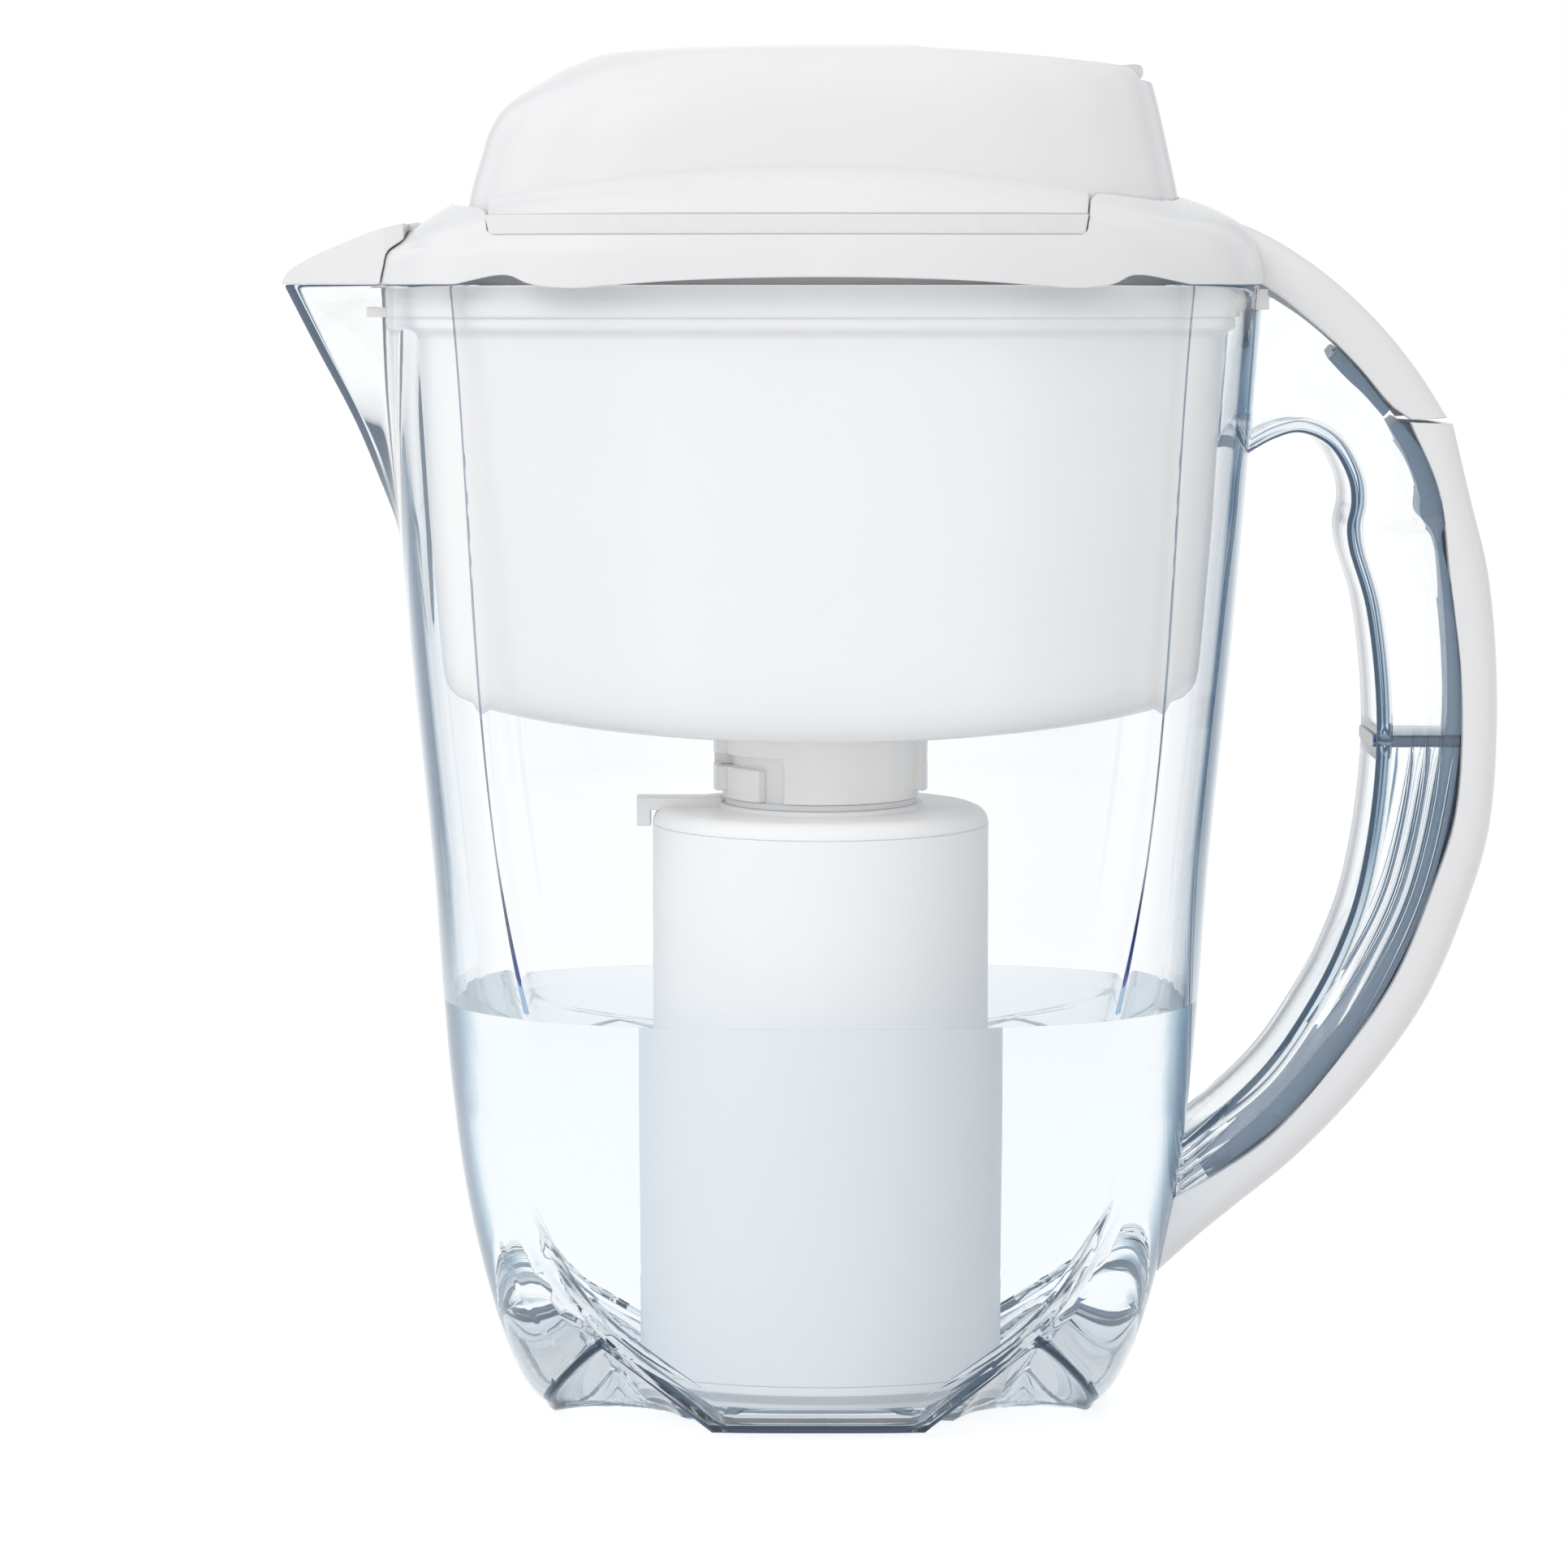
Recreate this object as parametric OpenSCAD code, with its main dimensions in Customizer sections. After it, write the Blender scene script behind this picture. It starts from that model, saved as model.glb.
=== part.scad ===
// Water filter pitcher: a clear jug with a spout and a channelled handle, a hanging reservoir with a
// bayonet filter cartridge, and a lid with a domed top, a flip flap for filling and a spout flap.
// X runs from the spout (-X) to the handle (+X), Z is up, the pitcher stands on Z = 0.

/* [Jug] */
// Height of the jug from the table to its rim
jug_h = 217; // [216:1:222]
// Width of the jug at its rim, without spout and handle
rim_w = 169; // [168:1:172]
// Depth of the jug at its rim
rim_d = 103; // [102:1:106]
// Wall thickness of the clear jug
jug_wall = 2.6; // [2.2:0.1:2.8]
// How far the spout lip stands out from the rim
spout_out = 19.6; // [17:0.2:21]
// How far the shield panels stand proud of the jug sides
panel_rise = 0.6; // [0.3:0.1:0.8]
// Height of the four ring feet under the base
foot_h = 0.8; // [0.5:0.1:1]

/* [Handle] */
// Width of the handle across the grip
handle_w = 26; // [22:1:30]
// Wall thickness of the handle channel
handle_wall = 2.4; // [2:0.1:2.8]
// Wall thickness of the two white handle covers
cover_wall = 2; // [1.6:0.1:2.4]

/* [Reservoir] */
// Wall thickness of the reservoir
tank_wall = 2; // [1.6:0.1:2.2]
// Outside diameter of the filter socket under the reservoir
socket_d = 38; // [37.6:0.1:38.4]

/* [Filter cartridge] */
// Outside diameter of the cartridge
cartridge_d = 65; // [62:0.5:66]
// Height of the cartridge body without its neck
cartridge_h = 110; // [106:1:110]
// Outside diameter of the cartridge neck
neck_d = 34.4; // [33.8:0.1:34.4]
// Quarter of the turn that the bayonet needs, in degrees
bayonet_turn = 60; // [45:5:70]

/* [Lid] */
// Wall thickness of the lid pieces
lid_wall = 2.2; // [2:0.1:2.4]
// Width of the flip flap
flap_w = 42; // [34:1:44]
// Thickness of the flip flap
flap_t = 2; // [1.8:0.1:2.2]
// Gap between the lid pieces that only touch
lid_gap = 0.25; // [0.2:0.05:0.35]

/* [Hidden] */

eps = 0.02;
clear_blue = [0.74, 0.84, 0.93, 0.45];
white = [0.95, 0.95, 0.95];
rubber_white = [0.88, 0.89, 0.9];
carbon = [0.16, 0.16, 0.17];
fleece_white = [0.9, 0.9, 0.88];
steel = [0.72, 0.73, 0.74];

// Drawn sizes that the curves below are given in; the driving sizes scale them
drawn_h = 217;
drawn_w = 169;
drawn_d = 103;
spout_reach = rim_w / 2 + spout_out;
handle_reach = 130.9;
axis_x = (spout_reach - handle_reach) / 2;

// ---------------------------------------------------------------- outlines and lofts

// Point at angle a on a rounded outline from xl to xr, half depth yh; nl and nr set how square
// its left and right ends are
function outline_point(xl, xr, yh, nl, nr, a) =
    let (n = cos(a) > 0 ? nr : nl, c = cos(a), s = sin(a))
    [(xl + xr) / 2 + (xr - xl) / 2 * sign(c) * pow(abs(c), 2 / n), yh * sign(s) * pow(abs(s), 2 / n)];

// A closed skin over rings of equal length, with flat ends
module skin(rings) {
    m = len(rings);
    n = len(rings[0]);
    points = [for (r = rings) each r];
    sides = [for (k = [0:m - 2], i = [0:n - 1])
        let (a = k * n + i, b = k * n + (i + 1) % n)
        each [[a, b + n, b], [a, a + n, b + n]]];
    polyhedron(points, concat([[for (i = [0:n - 1]) i]], sides, [[for (i = [n - 1:-1:0]) (m - 1) * n + i]]),
        convexity = 8);
}

// A skin over rings that run down the outside and up the inside, with a hole through it
module ring_skin(rings) {
    m = len(rings);
    n = len(rings[0]);
    points = [for (r = rings) each r];
    sides = [for (k = [0:m - 1], i = [0:n - 1])
        let (a = k * n + i, b = k * n + (i + 1) % n, up = ((k + 1) % m - k) * n)
        each [[a, b, b + up], [a, b + up, a + up]]];
    polyhedron(points, sides, convexity = 8);
}

// One faceted moulding: its surfaces are free curves, with no true bores in them
module moulding() resize([0, 0, 0]) children();

// Extrudes a side view, drawn in X and Z, across Y
module across(width) rotate([90, 0, 0]) linear_extrude(height = width, center = true) children();

module at_axis() translate([axis_x, 0, 0]) children();

module at_rim() translate([axis_x, 0, jug_h]) children();

// Smooth curve through the points p, with k steps between neighbours
function spline_point(p, i, t) =
    let (m = len(p) - 1, a = p[max(i - 1, 0)], b = p[i], c = p[i + 1], d = p[min(i + 2, m)])
    0.5 * (2 * b + (c - a) * t + (2 * a - 5 * b + 4 * c - d) * t * t + (3 * b - a - 3 * c + d) * t * t * t);
function curve(p, k) = concat([for (i = [0:len(p) - 2], j = [0:k - 1]) spline_point(p, i, j / k)], [p[len(p) - 1]]);

// ---------------------------------------------------------------- jug

// Half width and half depth of the jug at heights above the table
width_rows = [[0.8, 52.4], [4.4, 56.5], [12, 60.6], [25, 64.8], [42, 68.7], [61, 71.4], [80, 73.1],
    [104, 74.8], [147, 79], [185, 82.2], [217, 84.5]];
depth_rows = [[0.8, 32.4], [4.4, 36.2], [12, 39], [25, 41.8], [42, 44.4], [61, 46.6], [80, 48.2],
    [104, 49], [147, 50.2], [185, 51], [217, 51.5]];
// How square the jug's plan is: boxier at the foot
square_rows = [[0, 3], [60, 2.6], [217, 2.5]];
// Half width of the shield panel on the front and back
panel_rows = [[9, 3], [12.4, 10], [18.6, 20.6], [28, 30.4], [46.5, 42.6], [81, 55.5], [217, 69]];
panel_fade = [[8, 0], [16, 1]];

function drawn_z(z) = z * drawn_h / jug_h;
function half_w(z) = lookup(drawn_z(z), width_rows) * rim_w / drawn_w;
function half_d(z) = lookup(drawn_z(z), depth_rows) * rim_d / drawn_d;
function squareness(z) = lookup(drawn_z(z), square_rows);
function jug_point(z, grow, a) =
    let (w = half_w(z) + grow, n = squareness(z))
    outline_point(-w, w, half_d(z) + grow, n, n, a);
// Angle of the crease between a jug side and the shield panel
function crease(z) = acos(pow(lookup(drawn_z(z), panel_rows) / half_w(z), squareness(z) / 2));

side_steps = 10;
panel_steps = 12;
function sweep(z, grow, from, to, steps) =
    [for (i = [0:steps]) let (p = jug_point(z, grow, from + (to - from) * i / steps)) [p.x, p.y, z]];
function jug_ring(z, grow, rise) =
    let (c = crease(z), up = grow + rise * lookup(drawn_z(z), panel_fade))
    concat(sweep(z, grow, -c, c, side_steps), sweep(z, up, c, 180 - c, panel_steps),
        sweep(z, grow, 180 - c, 180 + c, side_steps), sweep(z, up, 180 + c, 360 - c, panel_steps));

jug_levels = [foot_h, 4.4, 12, 18.6, 28, 42, 61, 81, 104, 147, 185, jug_h];
module jug_outside(grow = 0) skin([for (z = jug_levels) jug_ring(z, grow, panel_rise + eps)]);

// The cavity; its floor corner is rounded
floor_t = 3;
cavity_levels = [[foot_h + floor_t, 4], [foot_h + floor_t + 1, 1.6], [foot_h + floor_t + 3.2, 0.3],
    [12, 0], [25, 0], [42, 0], [61, 0], [80, 0], [104, 0], [147, 0], [185, 0], [jug_h + 1, 0]];
cavity_steps = 46;
module jug_cavity() skin([for (l = cavity_levels)
    [for (i = [0:cavity_steps - 1])
        let (p = jug_point(l[0], -jug_wall - l[1], 360 * i / cavity_steps)) [p.x, p.y, l[0]]]]);

// Half plan of the spout from its root to its rounded tip, and how it grows up the jug
spout_rows = [[146, 0], [162, 0.09], [171, 0.2], [187.7, 0.42], [193, 0.51], [205.7, 0.77], [217, 1]];
spout_widths = [[146, 4], [162, 8.5], [171, 11], [187.7, 14], [205.7, 16.5], [217, 17.5]];
spout_levels = [148, 162, 171, 187.7, 205.7];
function spout_ring(z, grow) =
    let (w = half_w(z), tip = -w - spout_out * lookup(drawn_z(z), spout_rows) - grow,
        y = lookup(drawn_z(z), spout_widths) + grow * 0.9, root = -w * 0.97, r = min(3.4, y * 0.3))
    [for (p = [[-w * 0.8, y + 3], [root, y], [tip + r * 1.2, r * 0.95], [tip + r * 0.35, r * 0.6], [tip, 0],
        [tip + r * 0.35, -r * 0.6], [tip + r * 1.2, -r * 0.95], [root, -y], [-w * 0.8, -y - 3]]) [p.x, p.y, z]];
module spout(grow, top) skin([for (z = concat(spout_levels, [top])) spout_ring(z, grow)]);

// Notches between the four lobes of the base: cones that stand on the table and lean out to a rounded tip
notch_foot = [41, 29];
notch_tip = [38.9, 35.8];
notch_r = 17.2;
notch_h = 21.4;
notch_round = 2.5;
notch_lift = jug_wall * norm([notch_h, notch_r]) / notch_r;
function notch_ring(t) =
    let (c = notch_foot + t * (notch_tip - notch_foot),
        r = sqrt(pow(notch_r * (1 - t), 2) - pow(notch_round, 2)))
    [for (a = [0:12:348]) [c.x + r * cos(a), c.y + r * sin(a), t * notch_h]];
module notches(lift) {
    for (sx = [0, 1], sy = [0, 1])
        mirror([sx, 0, 0])
            mirror([0, sy, 0])
                translate([0, 0, lift])
                    skin([for (t = [-(lift + 1) / notch_h, 0.35, 0.6, 0.74, 0.81, 0.84]) notch_ring(t)]);
}

// Back edge and finger side of the clear handle, in X and Z
grip_back = concat(
    curve([[85.1, 216.5], [93.3, 209.7], [102.8, 201], [109.2, 192.6]], 2),
    curve([[113, 191], [118.5, 177.8], [120.3, 171.8]], 2),
    curve([[119.2, 169.6], [122.6, 153.4], [123.3, 129.5], [118.4, 102.8], [110.3, 83], [98.2, 66.4],
        [86, 53.4], [68.6, 41.7]], 2));
grip_finger = concat(
    curve([[71.6, 54.4], [84.6, 66.2], [93.3, 78.1], [99.7, 90], [104.1, 102.7], [107.4, 129.6],
        [105.2, 155], [101.6, 166.9]], 2),
    curve([[101.2, 170.9], [102, 175.3], [99.7, 183.5], [91.7, 188.8], [82.2, 184.8]], 3));
module grip_outline() polygon(concat(grip_back, [[60, 41], [60, 54]], grip_finger, [[74, 184], [76, 216.5]]));
rib_z = 128.4;
module grip_channel() {
    across(handle_w - 2 * handle_wall) difference() {
        offset(delta = -handle_wall)
            polygon(concat([[85, 222], [200, 222], [200, 30], [68, 38]], grip_finger,
                [[half_w(184.8), 184.8], [half_w(200), 200], [84.6, 217]]));
        translate([90, rib_z])
            square([60, handle_wall]);
    }
}

foot_x = 15;
foot_y = 19;
foot_r = 6;
module ring_feet() {
    for (sx = [-1, 1], sy = [-1, 1])
        translate([sx * foot_x, sy * foot_y, 0])
            difference() {
                cylinder(h = foot_h + 1, r = foot_r, $fn = 32);
                translate([0, 0, -1])
                    cylinder(h = foot_h + 1, r = foot_r - 1.8, $fn = 32);
            }
}

hook_w = 22;
// Notch in the rear rim for the reservoir's hook
module hook_notch()
    translate([76, -hook_w / 2 - 0.4, jug_h - 5.2])
        cube([12, hook_w + 0.8, 10]);
module jug() {
    color(clear_blue) at_axis() moulding() difference() {
        union() {
            difference() {
                union() {
                    jug_outside();
                    spout(0, jug_h);
                }
                notches(0);
            }
            ring_feet();
        }
        difference() {
            jug_cavity();
            notches(notch_lift);
        }
        spout(-jug_wall, jug_h + 1);
        hook_notch();
    }
}

// The handle's clear channel, which runs on from the wall of the jug without a joint
module handle_grip() {
    color(clear_blue) at_axis() moulding() difference() {
        across(handle_w) grip_outline();
        grip_channel();
        jug_outside();
        hook_notch();
    }
}

// Cross-section of a handle cover between its inner edge i and its outer edge o
cover_round = 4.5;
function cover_ring(o, i) =
    let (d = o - i, len = norm(d), u = d / len, h = handle_w / 2, r = min(cover_round, len * 0.7),
        t = cover_wall, q = max(r - t, 0.6), deep = max(len - t, 0.4), arc = [0, 30, 60, 90],
        left = concat([[-h, 0]], [for (a = arc) [-h + r - r * cos(a), len - r + r * sin(a)]]),
        right = [for (k = [len(left) - 1:-1:0]) [-left[k].x, left[k].y]],
        g = h - t,
        inner_right = concat([[g, 0]], [for (a = [0, 45, 90]) [g - q + q * cos(a), max(deep - q + q * sin(a), 0.2)]]),
        inner_left = [for (k = [len(inner_right) - 1:-1:0]) [-inner_right[k].x, inner_right[k].y]])
    [for (p = concat(left, right, inner_right, inner_left)) [i.x + u.x * p.y, p.x, i.y + u.y * p.y]];
module cover(outer, inner) skin([for (k = [0:len(outer) - 1]) cover_ring(outer[k], inner[k])]);

// Lower cover: outer edge, and the edge that closes the channel
cover_outer = curve([[121.9, 190.4], [125.3, 176.4], [129, 161.3], [130.9, 139], [129.7, 113.3], [125.7, 98.7],
    [117.6, 79.4], [105.4, 62.3], [91.7, 48.6], [80.3, 39.6], [73, 33.6], [63.4, 25]], 2);
cover_inner = curve([[113.2, 191], [118.8, 177.6], [121, 161.5], [123.5, 139], [122.6, 116], [118.3, 101.6],
    [110.8, 83.4], [99, 67], [86.4, 53.4], [75, 45.6], [66, 40.5], [60, 35]], 2);
cover_gap = 0.14;
module handle_clearance() across(handle_w + 2) offset(delta = cover_gap / 2) grip_outline();
module handle_cover() {
    color(white) at_axis() moulding() difference() {
        cover(cover_outer, cover_inner);
        jug_outside(cover_gap);
        handle_clearance();
    }
}

// ---------------------------------------------------------------- reservoir

// Half width, half depth and height over the jug rim of the reservoir's outside, and how much of
// the bottom's dish reaches it
tank_rows = [[80.2, 46.9, -0.5, 0], [80.2, 46.9, -6, 0], [79.4, 46.2, -6.2, 0], [79.4, 46.2, -8.1, 0],
    [78, 44.9, -9.4, 0], [75.6, 43, -42, 0], [73.2, 41.2, -72, 0], [72.6, 40.6, -75.5, 0.25],
    [70.8, 39, -78.4, 0.75], [67.6, 36, -79.6, 1]];
tank_dish = 5.4;
tank_square = 2.6;
tank_steps = 44;
function dish_drop(x) = tank_dish * max(0, 1 - x * x / (67 * 67));
function tank_ring(row, inset, lift) =
    let (s = rim_w / drawn_w, sd = rim_d / drawn_d)
    [for (i = [0:tank_steps - 1])
        let (w = row[0] * s - inset,
            p = outline_point(-w, w, row[1] * sd - inset, tank_square, tank_square, 360 * i / tank_steps))
        [p.x, p.y, row[2] + lift - row[3] * dish_drop(p.x)]];
tank_inner_rows = [[67.6, 36, -79.6, 1], [71.6, 40, -77, 0.5], [73.2, 41.2, -74, 0], [75.6, 43, -42, 0],
    [78, 44.9, -11, 0], [80.2, 46.9, -9.4, 0], [80.2, 46.9, -0.5, 0]];
// Ring round the socket's seat, where the bottom ends
function seat_ring(d, z) =
    [for (i = [0:tank_steps - 1]) let (a = 360 * i / tank_steps) [d / 2 * cos(a), d / 2 * sin(a), z - tank_dish]];

socket_top = -83;
socket_bottom = -98.6;
socket_rim_d = 47;
hook_x = 85.1;
module reservoir() {
    color(white) at_rim() moulding() union() {
        ring_skin(concat([for (r = tank_rows) tank_ring(r, 0, 0)],
            [seat_ring(socket_rim_d + 2, -79.6), seat_ring(socket_d + 0.1, -79.6)],
            [seat_ring(socket_d + 0.1, tank_wall - 79.6), seat_ring(socket_rim_d + 1, tank_wall - 79.6)],
            [for (r = tank_inner_rows) tank_ring(r, tank_wall, r[2] < -12 ? tank_wall : 0)]));
        // Tongue over the spout and hook over the rear rim
        translate([-86.5, -5, -6.1])
            cube([7.6, 10, 1.9]);
        translate([79.1, -hook_w / 2, -4.9])
            cube([hook_x - 79.1, hook_w, 4.1]);
    }
}

// Bayonet socket: two guides carry the slots that the cartridge's lugs turn into
lug_h = 2.2;
lug_z = socket_bottom + 6.2;
lug_reach = 19.45;
lug_half = 6;
slot_play = 0.1;
guide_r = 20.75;
guide_span = 18;
neck_play = 0.05;
module ring_sector(r1, r2, from, to, z, h) {
    translate([0, 0, z])
        rotate([0, 0, from])
            rotate_extrude(angle = to - from, $fn = 96)
                translate([r1, 0])
                    square([r2 - r1, h]);
}
module filter_socket() {
    color(white) at_rim() difference() {
        union() {
            translate([0, 0, socket_bottom])
                cylinder(h = socket_top + 2 - socket_bottom, d = socket_d, $fn = 96);
            // Flange inside the reservoir
            translate([0, 0, socket_top + 0.05])
                cylinder(h = 1.95, d = socket_rim_d, $fn = 96);
            for (side = [0, 180])
                ring_sector(socket_d / 2 - 1, guide_r, side - guide_span, side + guide_span,
                    socket_bottom + 1.4, 12.2);
        }
        translate([0, 0, socket_bottom - 1])
            cylinder(h = 40, d = neck_d + 2 * neck_play, $fn = 96);
        for (side = [0, 180]) {
            ring_sector(neck_d / 2 - 1, guide_r + 1, side - lug_half - 1, side + bayonet_turn + lug_half + 1,
                lug_z - slot_play, lug_h + 2 * slot_play);
            ring_sector(neck_d / 2 - 2, guide_r + 2, side + bayonet_turn - lug_half - 2,
                side + bayonet_turn + lug_half + 2, socket_bottom - 1, lug_z - socket_bottom + 2);
        }
    }
}

// ---------------------------------------------------------------- filter cartridge

cap_top = socket_bottom - 2.2;
neck_h = 11.7;
neck_bore = neck_d - 4;
shell_wall = 1.6;
cap_h = 3;
base_h = 4.2;
cartridge_z = cap_top - cartridge_h;
arm_reach = cartridge_d / 2 + 3;
arm_w = 5;
module cartridge_shell() {
    color(white) at_rim() rotate_extrude($fn = 96)
        polygon([[cartridge_d / 2 - shell_wall, cartridge_z + base_h], [cartridge_d / 2, cartridge_z + base_h],
            [cartridge_d / 2, cap_top - cap_h - 0.02], [cartridge_d / 2 - shell_wall, cap_top - cap_h - 0.02]]);
}

module cartridge_cap() {
    edge = [for (a = [0:15:90]) [cartridge_d / 2 - cap_h + cap_h * cos(a), cap_top - cap_h + cap_h * sin(a)]];
    color(white) at_rim() {
        difference() {
            union() {
                rotate_extrude($fn = 96)
                    polygon(concat([[0, cap_top - cap_h]], edge, [[39.5 / 2, cap_top], [39.5 / 2, cap_top + 0.9],
                        [neck_d / 2, cap_top + 0.9], [neck_d / 2, cap_top + neck_h - 0.9],
                        [neck_d / 2 - 0.9, cap_top + neck_h], [0, cap_top + neck_h]]));
                for (side = [0, 180])
                    ring_sector(neck_d / 2 - 1, lug_reach, side - lug_half, side + lug_half, lug_z, lug_h);
                // Pull tab: runs out over the cap and hooks down over its edge
                translate([-arm_reach, -arm_w / 2, cap_top - 0.6])
                    cube([arm_reach - 19, arm_w, 2.5]);
                translate([-arm_reach, -arm_w / 2, cap_top - 3.7])
                    cube([2.6, arm_w, 4]);
            }
            translate([0, 0, cap_top - cap_h - 1])
                cylinder(h = cap_h + neck_h + 2, d = neck_bore, $fn = 96);
        }
        // Spigot that locates the cap in the shell
        translate([0, 0, cap_top - cap_h - 3])
            difference() {
                cylinder(h = 3.2, d = cartridge_d - 2 * shell_wall - 0.1, $fn = 96);
                translate([0, 0, -1])
                    cylinder(h = 6, d = cartridge_d - 2 * shell_wall - 3, $fn = 96);
            }
    }
}

module cartridge_base() {
    slots = 12;
    color(white) at_rim() translate([0, 0, cartridge_z]) difference() {
        union() {
            cylinder(h = 2.5, r1 = cartridge_d / 2 - 2.5, r2 = cartridge_d / 2, $fn = 96);
            translate([0, 0, 2.5])
                cylinder(h = base_h - 2.52, d = cartridge_d, $fn = 96);
            cylinder(h = base_h + 2.6, d = cartridge_d - 2 * shell_wall - 0.1, $fn = 96);
        }
        translate([0, 0, 2])
            cylinder(h = 10, d = cartridge_d - 2 * shell_wall - 3, $fn = 96);
        for (i = [0:slots - 1])
            rotate([0, 0, 360 * i / slots])
                translate([14, -1.2, -1])
                    cube([13, 2.4, 6]);
    }
}

module neck_seal() {
    color(rubber_white) at_rim() translate([0, 0, cap_top + 0.95]) difference() {
        cylinder(h = 1.15, d = socket_d - 0.6, $fn = 96);
        translate([0, 0, -1])
            cylinder(h = 4, d = neck_d + 0.1, $fn = 96);
    }
}

module inlet_screen() {
    pitch = 4.6;
    color(white) at_rim() translate([0, 0, cap_top - cap_h + 0.2]) difference() {
        cylinder(h = 1.2, d = neck_bore - 0.1, $fn = 64);
        for (i = [-2:2], j = [-2:2])
            if (norm([i, j]) * pitch < neck_bore / 2 - 3)
                translate([i * pitch, j * pitch, -1])
                    cylinder(h = 4, d = 3, $fn = 24);
    }
}

bed_d = cartridge_d - 2 * shell_wall - 3.2;
fleece_h = 3.4;
module disc(colour, z, h, d) color(colour) at_rim() translate([0, 0, z]) cylinder(h = h, d = d, $fn = 72);
module upper_fleece() disc(fleece_white, cap_top - cap_h - fleece_h - 0.1, fleece_h, bed_d);
module lower_fleece() disc(fleece_white, cartridge_z + 2.1, fleece_h, bed_d);
module filter_bed() disc(carbon, cartridge_z + 2.2 + fleece_h,
    cartridge_h - cap_h - 2 * fleece_h - 2.5, bed_d);

// ---------------------------------------------------------------- lid

// Left end, right end, half depth and height over the rim of the lid ring's crown, and how far it
// arches up along its front and back
crown_rows = [[-85.2, 85.2, 53, 0.05, 0], [-84.7, 85, 52.8, 3, 0], [-83.8, 84.1, 52.4, 6.2, 0.6],
    [-81.7, 83.5, 51.9, 7.7, 1.6], [-78.6, 81.7, 50.9, 10.2, 3], [-75.5, 79.2, 48.4, 12.4, 4.4],
    [-67.4, 69.2, 39.5, 16.6, 5.7], [-58, 60, 31, 18.6, 6]];
crown_steps = 48;
lid_s = rim_w / drawn_w;
lid_sd = rim_d / drawn_d;
function crown_ring(row, inset, drop) =
    [for (i = [0:crown_steps - 1])
        let (p = outline_point(row[0] * lid_s + inset, row[1] * lid_s - inset, row[2] * lid_sd - inset, 2.5, 2.5,
                360 * i / crown_steps),
            arch = row[4] * max(0, 1 - p.x * p.x / (66 * 66)))
        [p.x, p.y, row[3] - drop + arch]];
function crown_list(inset, drop) = [for (row = crown_rows) crown_ring(row, inset, drop)];
module crown(inset, drop) skin(crown_list(inset, drop));
// The crown grown by a gap, and its outline carried down past the rim
module crown_clearance(gap)
    skin(concat([[for (p = crown_ring(crown_rows[0], -gap, 0)) [p.x, p.y, -3]]], crown_list(-gap, -gap)));

// Recess along the front and back, where the dome's flange lies in the ring
recess_l = -61.7;
recess_r = 48.2;
recess_z = 9.1;
recess_lean_l = 0.2;
recess_lean_r = 0.17;
recess_corner = 1.2;
module recess(gap, bottom) {
    top = 30;
    left = [for (z = [bottom, top]) recess_l - (z - recess_z) * recess_lean_l + gap];
    right = [for (z = [bottom, top]) recess_r + (z - recess_z) * recess_lean_r - gap];
    across(140)
        offset(r = recess_corner, $fn = 24)
            offset(delta = -recess_corner)
                polygon([[left[0], bottom], [right[0], bottom], [right[1], top], [left[1], top]]);
}

// Left end, right end, half depth and height of the dome; a sloping plane takes off its rear top
dome_rows = [[-68, 68.4, 39.2, 11.8], [-67.3, 67.9, 38.7, 16.8], [-65.1, 66.3, 37.6, 24.5],
    [-63.1, 65, 36.7, 30.3], [-59.8, 64, 35.7, 34.6], [-53.1, 62.8, 33.8, 38.8], [-46.4, 61, 31.2, 42.2],
    [-37.1, 57, 26.8, 44.3], [-20.9, 45, 14, 45.1], [-6, 12, 3, 45.3]];
dome_square_l = 2.5;
dome_square_r = 3.6;
dome_steps = 46;
flap_slope = 5.5;
flap_front = 18.6;
flap_front_z = 44.6;
function dome_ring(row, inset, drop) =
    [for (i = [0:dome_steps - 1])
        let (p = outline_point((row[0] + inset) * lid_s, (row[1] - inset) * lid_s, (row[2] - inset) * lid_sd,
            dome_square_l, dome_square_r, 360 * i / dome_steps))
        [p.x, p.y, row[3] - drop]];
// Everything under the plane of the flip flap
module under_flap_plane(drop) {
    across(140) translate([flap_front, flap_front_z - drop])
        rotate(-flap_slope)
            polygon([[-110, 12], [0, 0], [60, 0], [60, -60], [-110, -60]]);
}
module dome_block(inset, drop, from) {
    intersection() {
        skin([for (k = [0:len(dome_rows) - 1])
            dome_ring(k == 0 ? [dome_rows[0][0], dome_rows[0][1], dome_rows[0][2], from + drop] : dome_rows[k],
                inset, drop)]);
        under_flap_plane(drop);
    }
}

// Spout flap hinge on the ring
spout_pivot = [-77.2, 10.1];
spout_pin_d = 1.8;
spout_pin_l = 21;
spout_barrel_d = 3.4;
spout_barrel_w = 14;
module spout_pin_hole(d, length) {
    translate([spout_pivot.x, 0, spout_pivot.y])
        rotate([90, 0, 0])
            cylinder(h = length, d = d, center = true, $fn = 32);
}

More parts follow.
